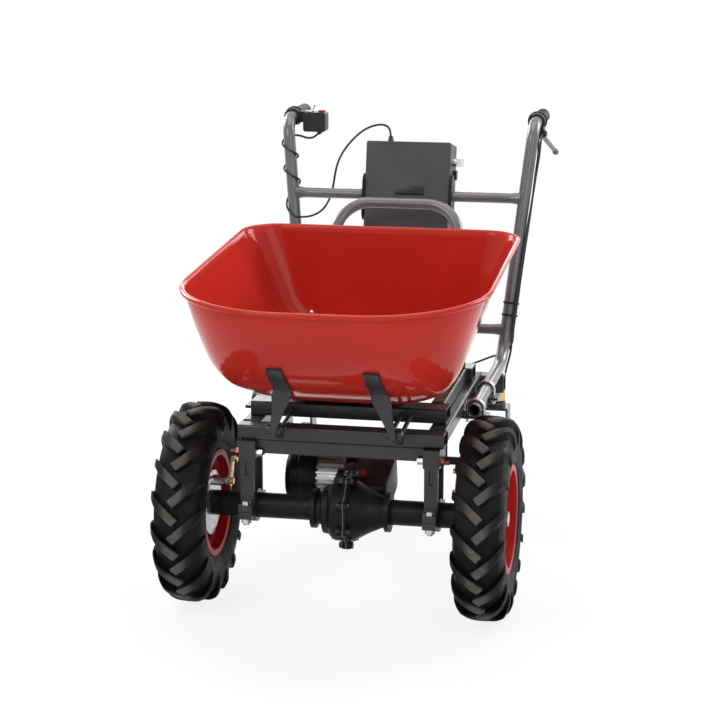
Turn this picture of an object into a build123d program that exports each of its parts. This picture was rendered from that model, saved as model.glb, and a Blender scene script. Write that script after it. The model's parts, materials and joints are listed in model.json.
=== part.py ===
"""Electric power barrow with a tipping tray, two driven wheels and two swivel casters.

Sizes are in millimetres, +Z is up and the barrow drives towards -Y. The pieces are laid out with the
drive axle at Y = 0, and are written with the origin on the floor under the middle of the whole length.
Left is the side of the operator's left hand, +X, and right is -X.
"""

import math
import os

from build123d import *

# Running gear
TRACK = 610
TYRE_OD = 416
TYRE_WIDTH = 106
LUG_HEIGHT = 15
LUGS_PER_SIDE = 17
LUG_THICKNESS = 17
LUG_ANGLE = 42
LUG_PAST_CENTRE = 4
CARCASS_WALL = 9
BEAD_RADIUS = 101.5
RIM_FLANGE_RADIUS = 111.2
RIM_WIDTH = 86
RIM_WALL = 3
RIM_WELL_DEPTH = 12.5
RIM_DISC_OFFSET = 12
RIM_DISC_WALL = 4
HUB_NOSE_RADIUS = 28
STUD_RADIUS = 5
STUD_CIRCLE = 45
STUD_COUNT = 4
DRUM_RADIUS = 62
DRUM_WALL = 7
DRUM_DEPTH = 35
HALF_SHAFT_RADIUS = 12.5
AXLE_TUBE_RADIUS = 26
AXLE_TUBE_WALL = 6
BEARING_WIDTH = 16
BRAKE_PLATE_RADIUS = 67
BRAKE_PLATE_WALL = 4
BRAKE_ARM_X = 236
BRAKE_ARM_LENGTH = 46
BRAKE_ARM_RISE = 60
BRAKE_ARM_WALL = 5
BRAKE_ARM_EYE = 7
BRAKE_CAM_RADIUS = 7
BRAKE_CAM_HEIGHT = 48
CABLE_STOP_Y = 96
CABLE_STOP_WALL = 5
CABLE_STOP_WIDTH = 16

# Differential and motor
DIFF_SEAM_X = 15
DIFF_RIGHT_END = -61
DIFF_LEFT_END = 102
DIFF_RADIUS = 64
DIFF_FLANGE_RADIUS = 70
DIFF_FLANGE_WALL = 6
DIFF_NECK_RADIUS = 33
DIFF_END_FLANGE_RADIUS = 41
DIFF_END_FLANGE_WALL = 10
DIFF_BOLT_COUNT = 8
DIFF_BOLT_CIRCLE = 72
DIFF_BOSS_RADIUS = 9
MOTOR_Y = 122
MOTOR_Z = 240
MOTOR_RADIUS = 58
MOTOR_FIN_DEPTH = 8
MOTOR_FIN_COUNT = 30
MOTOR_FIN_WALL = 4
MOTOR_RIGHT_END = -110
MOTOR_LEFT_END = -14
END_BELL_LENGTH = 29
GEAR_CASE_LEFT_END = 88
GEAR_CASE_RADIUS = 38
GEAR_CASE_REACH = 55

# Chassis
CHASSIS_TOP = 383
RAIL_HEIGHT = 30
RAIL_WIDTH = 38
TUBE_WALL = 3
TUBE_CORNER = 4
CHASSIS_HALF_WIDTH = 213
BEAM_FRONT = -24
BEAM_DEPTH = 40
RAIL_REAR_END = 530
LOWER_BEAM_HEIGHT = 30
LOWER_BEAM_SETBACK = 6
HANGER_X = 190
HANGER_WIDTH = 34
HANGER_LEG_WIDTH = 28
HANGER_LEG_WALL = 8
HANGER_LEG_GAP = 64
COLLAR_HEIGHT = 38
COLLAR_WALL = 6
CLAMP_REACH = 62
CLAMP_HEIGHT = 14
CLAMP_SPLIT = 1
CLAMP_BOLT_Y = 50
M12_RADIUS = 6
M10_RADIUS = 5
M8_RADIUS = 4
COLLAR_BOLT_Y = -28
COLLAR_BOLT_INNER_END = 160
COLLAR_BOLT_OUTER_END = 226
REAR_BEAM_SIZE = 40
REAR_BEAM_HALF_WIDTH = 252
REAR_BEAM_Y = 640

# Tipping tray
TRAY_FLOOR_FRONT = 30
TRAY_FLOOR_REAR = 300
TRAY_FLOOR_HALF_WIDTH = 155
TRAY_FLOOR_REAR_HALF_WIDTH = 145
TRAY_FLOOR_FRONT_RADIUS = 110
TRAY_FLOOR_REAR_RADIUS = 60
TRAY_FRONT = -284
TRAY_REAR = 563
TRAY_FRONT_HALF_WIDTH = 325
TRAY_REAR_HALF_WIDTH = 277
TRAY_FRONT_RADIUS = 300
TRAY_REAR_RADIUS = 85
TRAY_SIDE_FLARE = 2.5
TRAY_FRONT_FLARE = 2
TRAY_REAR_FLARE = 1.2
TRAY_RIM_Z = 680
TRAY_RIM_TILT = 2
TRAY_WALL = 2.5
RIM_BAND_WIDTH = 9
RIM_BAND_HEIGHT = 15
RIM_BAND_ROUND = 4
TRAY_TUBE_DEPTH = 60
TRAY_TUBE_HEIGHT = 30
TRAY_TUBE_HALF_LENGTH = 205
TRAY_FRONT_TUBE_Y = 58
TRAY_REAR_TUBE_Y = 430
TRAY_SIDE_TUBE_X = 178
TRAY_SIDE_TUBE_WIDTH = 30
PIVOT_X = 123
PIVOT_Y = -78
PIVOT_Z = 393
PIVOT_PIN_RADIUS = 6
PIVOT_EYE_RADIUS = 11
LUG_PLATE = 10
KNUCKLE_LENGTH = 10
BRACE_WIDTH = 36
BRACE_WALL = 6
BRACE_TOP_X = 94
BRACE_BOLT_Z = 532
STRAP_X = 146
STRAP_WIDTH = 30
STRAP_SETBACK = 22
STRAP_BOLT_Z = 537
TAB_LENGTH = 40
TAB_ROUND = 8
TRAY_BOLT_HEAD_RADIUS = 8
TRAY_BOLT_HEAD_HEIGHT = 4
LOOP_TUBE_RADIUS = 12.5
LOOP_HALF_WIDTH = 142
LOOP_CORNER = 78
LOOP_TOP_Y = 662
LOOP_TOP_Z = 740
LOOP_TUBE_WALL = 2

# Handles
HANDLE_TUBE_RADIUS = 14
HANDLE_TUBE_WALL = 2
HANDLE_RUN_X = 236
HANDLE_FRONT_END = 245
HANDLE_BEND_Y = 713
HANDLE_BEND_RADIUS = 85
HANDLE_TOP_X = 292
HANDLE_TOP_Y = 798
HANDLE_TOP_Z = 912
HANDLE_TOP_RADIUS = 45
GRIP_LENGTH = 122
GRIP_RADIUS = 17
GRIP_END = 985
GRIP_CAP = 4
GRIP_FLANGE_RADIUS = 23
GRIP_FLANGE_WALL = 6
CROSS_BAR_RADIUS = 12
CROSS_BAR_FLARE = 3
CROSS_BAR_FLARE_LENGTH = 24
UPPER_BAR_Z = 742
LOWER_BAR_Z = 440
U_BOLT_RADIUS = 3.5
U_BOLT_FRONT_Y = 270
U_BOLT_REAR_Y = 435
SHELF_WALL = 6
SHELF_LENGTH = 44
SHELF_MARGIN = 8

# Casters
CASTER_WHEEL_RADIUS = 100
CASTER_WHEEL_WIDTH = 44
CASTER_RIM_RADIUS = 66
CASTER_HUB_RADIUS = 20
CASTER_X = 232
CASTER_TRAIL = 42
CASTER_HEAD_RADIUS = 22
CASTER_HEAD_HEIGHT = 22
CASTER_STEM_RADIUS = 8
FORK_GAP = 52
FORK_WALL = 5
FORK_CROWN_HEIGHT = 18
FORK_CROWN_RADIUS = 27
CASTER_AXLE_RADIUS = 6

# Battery box
BOX_WIDTH = 200
BOX_HEIGHT = 232
BOX_DEPTH = 95
BOX_LEAN = 12
BOX_FRONT_Y = 736
BOX_BOTTOM_Z = 640
BOX_WALL = 2
BOX_EDGE = 5
COVER_LAP = 14
CRADLE_WALL = 6
CRADLE_WIDTH = 46
CRADLE_HEIGHT = 110
CRADLE_MIDDLE_Z = 102
BATTERY_MARGIN = 8
BATTERY_HEIGHT = 130
CONTROLLER_HEIGHT = 60
KEY_Z = 188
KEY_BARREL_RADIUS = 10
KEY_BARREL_LENGTH = 9
KEY_BLADE_RADIUS = 3
SOCKET_Y = 62
SOCKET_Z = 160
SOCKET_RADIUS = 12
SOCKET_LENGTH = 8
GLAND_X = -51
GLAND_RADIUS = 8
GLAND_HEIGHT = 16

# Hand controls
SWITCH_BOX_OFFSET = 30
SWITCH_BOX_WIDTH = 54
SWITCH_BOX_DEPTH = 38
SWITCH_BOX_HEIGHT = 46
SWITCH_BOX_RISE = 13
SWITCH_BOX_EDGE = 6
SWITCH_NECK_HEIGHT = 26
CLAMP_RING_WALL = 6
CLAMP_RING_LENGTH = 20
BUTTON_RADIUS = 9
BUTTON_DEPTH = 10
BUTTON_TRAVEL = 3
BUTTON_PROUD = 5
BUTTON_X = 42
TOGGLE_X = 14
TOGGLE_RADIUS = 2
TOGGLE_LENGTH = 18
TOGGLE_DEPTH = 7
TOGGLE_TILT = 25
TOGGLE_BALL_RADIUS = 3
TOGGLE_WELL_RADIUS = 7
LEVER_TILT = 22
LEVER_WIDTH = 9
LEVER_HEIGHT = 12
LEVER_TIP_HEIGHT = 7
LEVER_LENGTH = 112
LEVER_DROOP = 28
LEVER_PIVOT_DROP = 31
LEVER_PIVOT_RADIUS = 4
LEVER_BOSS_RADIUS = 8
LEVER_BALL_RADIUS = 8
CHEEK_WALL = 6
LEVER_STOP_WALL = 5

# Cables
BRAKE_CABLE_RADIUS = 2.5
BRAKE_CABLE_SPREAD = 4
CONTROL_CABLE_RADIUS = 2.5
CONTROL_CABLE_RUN = 14
HELIX_RADIUS = 20.5
HELIX_STEP = 60
HELIX_START = 90
HELIX_CLOSE_END = 750
HELIX_END = 990
HELIX_TOP_Z = 872
HELIX_CLOSE_PITCH = 58
HELIX_OPEN_PITCH = 115
CABLE_START_RUN = 18
CABLE_BOSS_RADIUS = 5
CABLE_BOSS_LENGTH = 8
TIE_HEIGHTS = (500, 472)
TIE_WALL = 1.6
TIE_WIDTH = 5

# Clearances
RUNNING_FIT = 0.05
BODY_GAP = 0.4
SEAT_GAP = 0.3

# Derived places
AXLE_Z = TYRE_OD / 2
CHASSIS_BOTTOM = CHASSIS_TOP - RAIL_HEIGHT
RAIL_X = CHASSIS_HALF_WIDTH - RAIL_WIDTH / 2
HANDLE_RUN_Z = CHASSIS_BOTTOM + HANDLE_TUBE_RADIUS
REAR_BEAM_TOP = CHASSIS_BOTTOM - SEAT_GAP
TRAY_FLOOR_Z = CHASSIS_TOP + TRAY_TUBE_HEIGHT
BRAKE_PLATE_X = TRACK / 2 - 30
RIM_PLANE = Plane((0, 0, TRAY_RIM_Z), z_dir=(0, 0, 1)).rotated((TRAY_RIM_TILT, 0, 0))

NODES = {}


# Basic shapes


def block(x0, x1, y0, y1, z0, z1):
    """A box between two corners."""
    return Pos((x0 + x1) / 2, (y0 + y1) / 2, (z0 + z1) / 2) * Box(x1 - x0, y1 - y0, z1 - z0)


def bar_x(x0, x1, y, z, radius):
    """A round bar along X."""
    return Pos((x0 + x1) / 2, y, z) * Rot(0, 90, 0) * Cylinder(radius, abs(x1 - x0))


def bar_y(y0, y1, x, z, radius):
    """A round bar along Y."""
    return Pos(x, (y0 + y1) / 2, z) * Rot(90, 0, 0) * Cylinder(radius, abs(y1 - y0))


def bar_z(z0, z1, x, y, radius):
    """A round bar along Z."""
    return Pos(x, y, (z0 + z1) / 2) * Cylinder(radius, abs(z1 - z0))


def hex_x(x0, x1, y, z, radius):
    """A hexagon head or nut along X, with the given corner radius."""
    flat = Plane((x0, y, z), x_dir=(0, 1, 0), z_dir=(1, 0, 0)) * RegularPolygon(radius, 6)
    return extrude(flat, amount=x1 - x0)


def hex_z(z0, z1, x, y, radius):
    """A hexagon head or nut along Z."""
    return extrude(Pos(x, y, z0) * RegularPolygon(radius, 6), amount=z1 - z0)


def box_section(width, height):
    """A square tube's section with rounded corners, and its hollow."""
    inside = TUBE_CORNER - TUBE_WALL
    outer = RectangleRounded(width, height, TUBE_CORNER)
    return outer - RectangleRounded(width - 2 * TUBE_WALL, height - 2 * TUBE_WALL, inside)


def square_tube_x(x0, x1, y, z, depth, height):
    """An open-ended square tube along X."""
    return Pos(x0, y, z) * extrude(Plane.YZ * box_section(depth, height), amount=x1 - x0)


def square_tube_y(y0, y1, x, z, width, height):
    """An open-ended square tube along Y."""
    return Pos(x, y0, z) * Rot(0, 0, 90) * extrude(Plane.YZ * box_section(width, height), amount=y1 - y0)


def revolve_x(points, z=AXLE_Z):
    """Turns an outline of (x, radius) points about the X axis at one height, the axle's by default."""
    outline = make_face(Polyline([(px, 0, pr) for px, pr in points], close=True))
    return Pos(0, 0, z) * revolve(outline, Axis.X)


def pipe(points, corners, radius, wall=0):
    """A round tube or rod along straight runs joined by tangent arcs."""
    path = FilletPolyline(points, radius=corners)
    section = Circle(radius) - Circle(radius - wall) if wall else Circle(radius)
    return sweep(Plane(path @ 0, z_dir=path % 0) * section, path=path)


def mirrored(piece):
    """The same piece on the other side of the barrow."""
    return mirror(piece, about=Plane.YZ)


def both(piece):
    """A piece and its mirror image as one group."""
    return Compound(children=[*piece.solids(), *mirrored(piece).solids()])


def group(*pieces):
    """Several separate solids in one node."""
    return Compound(children=[solid for piece in pieces for solid in piece.solids()])


# Drive wheels, in the wheel's own place with the mid-plane at X = 0


def tyre():
    """A hollow carcass with staggered chevron lugs whose V points down at the front."""
    crown = TYRE_OD / 2 - LUG_HEIGHT
    inside = crown - CARCASS_WALL
    side = TYRE_WIDTH / 2 - 2
    bead = BEAD_RADIUS + SEAT_GAP
    bead_x = RIM_WIDTH / 2 - RIM_WALL - SEAT_GAP
    lip = RIM_FLANGE_RADIUS + SEAT_GAP
    outer = [
        Line((bead_x, bead), (bead_x, lip)),
        Line((bead_x, lip), (bead_x + 4, lip + 5)),
        ThreePointArc((bead_x + 4, lip + 5), (side, crown - 42), (side - 7, crown - 8)),
        ThreePointArc((side - 7, crown - 8), (side / 2 - 3, crown - 2), (0, crown)),
    ]
    inner = [
        ThreePointArc((0, inside), (side / 2 - 3, inside - 3), (side - 14, inside - 12)),
        ThreePointArc((side - 14, inside - 12), (side - 8, crown - 44), (bead_x - 13, bead + 8)),
        Line((bead_x - 13, bead + 8), (bead_x - 13, bead)),
        Line((bead_x - 13, bead), (bead_x, bead)),
    ]
    half = make_face(Wire([*outer, Line((0, crown), (0, inside)), *inner]))
    half = Plane.XZ * half
    carcass = revolve(half, Axis.X)
    carcass = carcass + mirrored(carcass)
    lugs = []
    for side_sign in (1, -1):
        for count in range(LUGS_PER_SIDE):
            turn = 360 / LUGS_PER_SIDE * (count + (0.5 if side_sign < 0 else 0))
            lugs.append(Rot(turn, 0, 0) * lug(side_sign))
    return carcass + lugs


def lug(side_sign):
    """One lug at the top of the tyre, slanted from the centre line out over the shoulder."""
    top = TYRE_OD / 2
    slant = math.radians(LUG_ANGLE)
    half_width = TYRE_WIDTH / 2 - LUG_THICKNESS / 2 * math.sin(slant)
    base = top - LUG_HEIGHT - 5
    outline = [
        (-LUG_PAST_CENTRE, base),
        (-LUG_PAST_CENTRE, top),
        (half_width * 0.55, top - 1),
        (half_width - 6, top - 8),
        (half_width, top - 22),
        (half_width, top - 42),
        (half_width - 7, top - 46),
        (half_width - 14, base - 6),
    ]
    points = []
    for across, radius in outline:
        ahead = across * math.tan(slant)
        points.append((across / math.cos(slant), math.sqrt(radius * radius - ahead * ahead)))
    direction = (side_sign * math.cos(slant), math.sin(slant), 0)
    plane = Plane((0, 0, 0), x_dir=direction, z_dir=Vector(*direction).cross(Vector(0, 0, 1)))
    face = plane * make_face(Polyline(points, close=True))
    return extrude(face, amount=LUG_THICKNESS / 2, both=True)


def rim():
    """A pressed rim with bead seats, a drop centre and a dished disc with stud holes."""
    edge = RIM_WIDTH / 2
    seat = BEAD_RADIUS
    well = BEAD_RADIUS - RIM_WELL_DEPTH
    shelf = 20
    slope = 3
    barrel = revolve_x([
        (-edge, RIM_FLANGE_RADIUS), (-edge + RIM_WALL, RIM_FLANGE_RADIUS), (-edge + RIM_WALL, seat),
        (-shelf, seat), (-shelf + slope, well), (shelf - slope, well), (shelf, seat),
        (edge - RIM_WALL, seat), (edge - RIM_WALL, RIM_FLANGE_RADIUS), (edge, RIM_FLANGE_RADIUS),
        (edge, seat - RIM_WALL), (shelf + RIM_WALL, seat - RIM_WALL), (shelf, well - RIM_WALL),
        (-shelf, well - RIM_WALL), (-shelf - RIM_WALL, seat - RIM_WALL), (-edge, seat - RIM_WALL),
    ], z=0)
    face = RIM_DISC_OFFSET
    back = face + RIM_DISC_WALL
    hole = HUB_NOSE_RADIUS + SEAT_GAP
    dish = STUD_CIRCLE + 15
    disc = revolve_x([
        (face - 10, well - 1), (back - 10, well - 1), (back, dish + 6), (back, hole),
        (face, hole), (face, dish + 4),
    ], z=0)
    whole = barrel + disc
    for place in PolarLocations(STUD_CIRCLE, STUD_COUNT):
        whole -= bar_x(face - 2, back + 2, place.position.X, place.position.Y, STUD_RADIUS + SEAT_GAP)
    return whole


def hub():
    """The brake drum with its studs and nose, on the half shaft that turns the wheel."""
    face = RIM_DISC_OFFSET
    open_end = face - DRUM_DEPTH
    nose_end = face + RIM_DISC_WALL + 12
    drum = revolve_x([
        (open_end, DRUM_RADIUS), (face - 12, DRUM_RADIUS), (face, DRUM_RADIUS - 4), (face, HUB_NOSE_RADIUS),
        (nose_end - 3, HUB_NOSE_RADIUS), (nose_end, HUB_NOSE_RADIUS - 3), (nose_end, 0),
        (face - 12, 0), (face - 12, DRUM_RADIUS - DRUM_WALL), (open_end, DRUM_RADIUS - DRUM_WALL),
    ], z=0)
    for place in PolarLocations(STUD_CIRCLE, STUD_COUNT):
        drum += bar_x(face - 2, face + RIM_DISC_WALL + 11, place.position.X, place.position.Y, STUD_RADIUS)
    return drum


def half_shaft(inner_end):
    """The shaft from inside the differential out to the drum, in barrow places on the left."""
    return bar_x(inner_end, TRACK / 2 + RIM_DISC_OFFSET - 6, 0, AXLE_Z, HALF_SHAFT_RADIUS)


def wheel_nuts():
    """The four stud nuts and the shaft's end nut."""
    back = RIM_DISC_OFFSET + RIM_DISC_WALL
    nuts = []
    for place in PolarLocations(STUD_CIRCLE, STUD_COUNT):
        y, z = place.position.X, place.position.Y
        nut = hex_x(back, back + 8, y, z, 9) - bar_x(back - 1, back + 9, y, z, STUD_RADIUS + RUNNING_FIT)
        nuts.append(nut)
    nose_end = back + 12
    nuts.append(hex_x(nose_end, nose_end + 10, 0, 0, 16))
    return group(*nuts)


def add_wheels():
    """Tyre, rim, hub and nuts on both sides."""
    place = Pos(TRACK / 2, 0, AXLE_Z)
    left_tyre = place * tyre()
    left_rim = place * rim()
    left_nuts = place * wheel_nuts()
    drum = place * hub()
    NODES["left_tyre"] = left_tyre
    NODES["right_tyre"] = mirrored(left_tyre)
    NODES["left_rim"] = left_rim
    NODES["right_rim"] = mirrored(left_rim)
    NODES["left_hub"] = drum + half_shaft(DIFF_LEFT_END - 40)
    NODES["right_hub"] = mirrored(drum + half_shaft(-DIFF_RIGHT_END - 30))
    NODES["left_wheel_nuts"] = left_nuts
    NODES["right_wheel_nuts"] = mirrored(left_nuts)


# Axle, brakes and differential


def axle_tube(inner_end):
    """An axle tube from the differential's flange to the brake plate, on the left."""
    outer_end = BRAKE_PLATE_X + 1
    tube = bar_x(inner_end, outer_end, 0, AXLE_Z, AXLE_TUBE_RADIUS)
    return tube - bar_x(inner_end - 1, outer_end + 1, 0, AXLE_Z, AXLE_TUBE_RADIUS - AXLE_TUBE_WALL)


def axle_bearing():
    """The bearing in the outer end of the left axle tube."""
    outer_end = BRAKE_PLATE_X - 1
    outside = AXLE_TUBE_RADIUS - AXLE_TUBE_WALL - RUNNING_FIT
    ring = bar_x(outer_end - BEARING_WIDTH, outer_end, 0, AXLE_Z, outside)
    bore = bar_x(outer_end - BEARING_WIDTH - 1, outer_end + 1, 0, AXLE_Z, HALF_SHAFT_RADIUS + RUNNING_FIT)
    return ring - bore


def brake_plate():
    """The pressed backing plate of the left drum brake, with a lip round the drum's open side."""
    face = BRAKE_PLATE_X
    bore = AXLE_TUBE_RADIUS + RUNNING_FIT
    lip = BRAKE_PLATE_RADIUS - 3
    plate = revolve_x([
        (face - BRAKE_PLATE_WALL, bore), (face - BRAKE_PLATE_WALL, lip - 8), (face - 1, BRAKE_PLATE_RADIUS),
        (face + 5, BRAKE_PLATE_RADIUS), (face + 5, lip), (face, lip), (face, bore),
    ])
    boss_end = BRAKE_ARM_X + BRAKE_ARM_WALL / 2 + BODY_GAP
    boss = bar_x(boss_end, face, 0, AXLE_Z + BRAKE_CAM_HEIGHT, BRAKE_CAM_RADIUS + 4)
    hole = bar_x(boss_end - 1, face + 10, 0, AXLE_Z + BRAKE_CAM_HEIGHT, BRAKE_CAM_RADIUS + RUNNING_FIT)
    return plate + boss - hole


def brake_arm():
    """The left cam shaft with its arm, which the brake cable pulls back."""
    z = AXLE_Z + BRAKE_CAM_HEIGHT
    half = BRAKE_ARM_WALL / 2
    cam = bar_x(BRAKE_ARM_X - half - 5, BRAKE_PLATE_X + 4, 0, z, BRAKE_CAM_RADIUS)
    end_y, end_z = brake_arm_end()
    ends = Pos(0, z) * Circle(BRAKE_CAM_RADIUS + 5) + Pos(end_y, end_z) * Circle(BRAKE_ARM_EYE)
    blade = Pos(BRAKE_ARM_X, 0, 0) * extrude(Plane.YZ * make_hull(ends.edges()), amount=half, both=True)
    swivel = bar_x(BRAKE_ARM_X - half - 8, BRAKE_ARM_X, end_y, end_z, BRAKE_ARM_EYE - 2)
    return cam + blade + swivel


def brake_arm_end():
    """The place along and up of the brake arm's cable eye."""
    rise = math.radians(BRAKE_ARM_RISE)
    return BRAKE_ARM_LENGTH * math.cos(rise), AXLE_Z + BRAKE_CAM_HEIGHT + BRAKE_ARM_LENGTH * math.sin(rise)


def diff_bosses(x0, x1):
    """The bolt bosses round one side of the differential's seam."""
    bosses = []
    for place in PolarLocations(DIFF_BOLT_CIRCLE, DIFF_BOLT_COUNT, start_angle=22.5):
        y, z = place.position.X, AXLE_Z + place.position.Y
        boss = bar_x(x0, x1, y, z, DIFF_BOSS_RADIUS)
        bosses.append(boss)
    return bosses


def diff_holes():
    """The bolt holes through the seam and the bore for the half shafts."""
    holes = [bar_x(DIFF_RIGHT_END - 1, DIFF_LEFT_END + 1, 0, AXLE_Z, HALF_SHAFT_RADIUS + 1)]
    for place in PolarLocations(DIFF_BOLT_CIRCLE, DIFF_BOLT_COUNT, start_angle=22.5):
        y, z = place.position.X, AXLE_Z + place.position.Y
        holes.append(bar_x(DIFF_SEAM_X - 30, DIFF_SEAM_X + 30, y, z, M8_RADIUS + RUNNING_FIT))
    return holes


def diff_right_half():
    """The stepped drum side of the differential housing."""
    seam = DIFF_SEAM_X
    end = DIFF_RIGHT_END
    body = revolve_x([
        (end, 0), (end, DIFF_END_FLANGE_RADIUS), (end + DIFF_END_FLANGE_WALL, DIFF_END_FLANGE_RADIUS),
        (end + DIFF_END_FLANGE_WALL + 2, DIFF_NECK_RADIUS), (end + 21, DIFF_NECK_RADIUS),
        (end + 26, DIFF_RADIUS - 14), (end + 38, DIFF_RADIUS - 12), (end + 46, DIFF_RADIUS - 2),
        (end + 52, DIFF_RADIUS), (seam - DIFF_FLANGE_WALL, DIFF_RADIUS),
        (seam - DIFF_FLANGE_WALL, DIFF_FLANGE_RADIUS), (seam, DIFF_FLANGE_RADIUS), (seam, 0),
    ])
    body = body + diff_bosses(seam - DIFF_FLANGE_WALL - 2, seam)
    return body - diff_holes()


def diff_left_half():
    """The conical side of the differential housing, with its bolted end flange."""
    seam = DIFF_SEAM_X
    end = DIFF_LEFT_END
    body = revolve_x([
        (seam, 0), (seam, DIFF_FLANGE_RADIUS), (seam + DIFF_FLANGE_WALL, DIFF_FLANGE_RADIUS),
        (seam + DIFF_FLANGE_WALL, DIFF_RADIUS - 2),
        (seam + 18, DIFF_RADIUS - 4),
        (seam + 46, DIFF_RADIUS - 20),
        (end - DIFF_END_FLANGE_WALL - 6, DIFF_NECK_RADIUS), (end - DIFF_END_FLANGE_WALL, DIFF_NECK_RADIUS),
        (end - DIFF_END_FLANGE_WALL, DIFF_END_FLANGE_RADIUS), (end, DIFF_END_FLANGE_RADIUS), (end, 0),
    ])
    body = body + diff_bosses(seam, seam + DIFF_FLANGE_WALL + 2)
    return body - diff_holes()


def diff_bolts():
    """The bolts round the seam, with their nuts."""
    seam = DIFF_SEAM_X
    bolts = []
    head = seam + DIFF_FLANGE_WALL + 2
    tail = seam - DIFF_FLANGE_WALL - 2
    for place in PolarLocations(DIFF_BOLT_CIRCLE, DIFF_BOLT_COUNT, start_angle=22.5):
        y, z = place.position.X, AXLE_Z + place.position.Y
        bolts.append(bar_x(tail - 8, head, y, z, M8_RADIUS) + hex_x(head, head + 5.5, y, z, 7.2))
        nut = hex_x(tail - 6.5, tail, y, z, 7.2)
        bolts.append(nut - bar_x(tail - 8, tail + 1, y, z, M8_RADIUS + RUNNING_FIT))
    return group(*bolts)


def motor_body():
    """The motor's aluminium barrel with cooling fins along it."""
    core = Circle(MOTOR_RADIUS - MOTOR_FIN_DEPTH)
    fin = Rectangle(2 * MOTOR_FIN_DEPTH, MOTOR_FIN_WALL)
    section = core
    for place in PolarLocations(MOTOR_RADIUS - MOTOR_FIN_DEPTH, MOTOR_FIN_COUNT):
        section += place * fin
    section = section & Circle(MOTOR_RADIUS)
    barrel = extrude(Plane.YZ * section, amount=MOTOR_LEFT_END - MOTOR_RIGHT_END)
    return Pos(MOTOR_RIGHT_END, MOTOR_Y, MOTOR_Z) * barrel


def motor_end_bell():
    """The domed cover over the motor's right end."""
    outer = MOTOR_RADIUS - 1
    length = END_BELL_LENGTH
    outline = make_face(Wire([
        Line((0, 0), (0, outer)),
        Line((0, outer), (-length * 0.55, outer)),
        ThreePointArc((-length * 0.55, outer), (-length * 0.9, outer - 8), (-length, outer - 20)),
        Line((-length, outer - 20), (-length, 0)),
        Line((-length, 0), (0, 0)),
    ]))
    bell = revolve(Plane.XZ * outline, Axis.X)
    return Pos(MOTOR_RIGHT_END, MOTOR_Y, MOTOR_Z) * bell


def gear_case():
    """The reduction case between the motor and the differential, shaped as a rounded link."""
    length = GEAR_CASE_LEFT_END - MOTOR_LEFT_END
    reach = math.hypot(MOTOR_Y, MOTOR_Z - AXLE_Z)
    toward = GEAR_CASE_REACH / reach
    near_y = MOTOR_Y * (1 - toward)
    near_z = MOTOR_Z + (AXLE_Z - MOTOR_Z) * toward
    ends = Pos(MOTOR_Y, MOTOR_Z) * Circle(GEAR_CASE_RADIUS) + Pos(near_y, near_z) * Circle(GEAR_CASE_RADIUS)
    link = make_hull(ends.edges())
    case = Pos(MOTOR_LEFT_END, 0, 0) * extrude(Plane.YZ * link, amount=length)
    case = fillet(case.faces().sort_by(Axis.X)[-1].edges(), 12)
    clear = DIFF_BOLT_CIRCLE + DIFF_BOSS_RADIUS + SEAT_GAP
    room = bar_x(MOTOR_LEFT_END - 1, DIFF_SEAM_X - DIFF_FLANGE_WALL - 12, 0, AXLE_Z, DIFF_RADIUS + SEAT_GAP)
    room += bar_x(DIFF_SEAM_X - DIFF_FLANGE_WALL - 12, DIFF_SEAM_X + 20, 0, AXLE_Z, clear)
    room += bar_x(DIFF_SEAM_X + 20, GEAR_CASE_LEFT_END + 1, 0, AXLE_Z, DIFF_RADIUS - 4 + SEAT_GAP)
    return case - room


def add_axle():
    """Axle tubes, bearings, brakes, differential and motor."""
    NODES["axle_tubes"] = group(axle_tube(DIFF_LEFT_END), mirrored(axle_tube(-DIFF_RIGHT_END)))
    NODES["axle_bearings"] = both(axle_bearing())
    NODES["brake_plates"] = both(brake_plate())
    NODES["left_brake_arm"] = brake_arm()
    NODES["right_brake_arm"] = mirrored(brake_arm())
    NODES["diff_right_half"] = diff_right_half()
    NODES["diff_left_half"] = diff_left_half()
    NODES["motor_body"] = motor_body()
    NODES["motor_end_bell"] = motor_end_bell()
    NODES["gear_case"] = gear_case()


# Chassis


def pivot_lug():
    """The left plate that carries the tray's tip pivot in front of the front beam."""
    eye = Pos(PIVOT_Y, PIVOT_Z) * Circle(PIVOT_EYE_RADIUS)
    root = make_face(Polyline([
        (BEAM_FRONT, CHASSIS_TOP - 4), (BEAM_FRONT, CHASSIS_BOTTOM + 5), (PIVOT_Y - 6, PIVOT_Z - 9),
        (PIVOT_Y + 6, PIVOT_Z + 9),
    ], close=True))
    hole = Pos(PIVOT_Y, PIVOT_Z) * Circle(PIVOT_PIN_RADIUS + RUNNING_FIT)
    plate = extrude(Plane.YZ * (eye + root - hole), amount=LUG_PLATE / 2, both=True)
    return Pos(PIVOT_X, 0, 0) * plate


def front_beam():
    """The front cross beam with its two pivot lugs welded on."""
    middle = CHASSIS_BOTTOM + RAIL_HEIGHT / 2
    beam_y = BEAM_FRONT + BEAM_DEPTH / 2
    beam = square_tube_x(-CHASSIS_HALF_WIDTH, CHASSIS_HALF_WIDTH, beam_y, middle, BEAM_DEPTH, RAIL_HEIGHT)
    return beam + pivot_lug() + mirrored(pivot_lug())


def lower_beam():
    """The cross beam between the two axle hangers."""
    end = HANGER_X - HANGER_WIDTH / 2
    depth = BEAM_DEPTH - LOWER_BEAM_SETBACK
    y = BEAM_FRONT + LOWER_BEAM_SETBACK + depth / 2
    return square_tube_x(-end, end, y, CHASSIS_BOTTOM - LOWER_BEAM_HEIGHT / 2, depth, LOWER_BEAM_HEIGHT)


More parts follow.
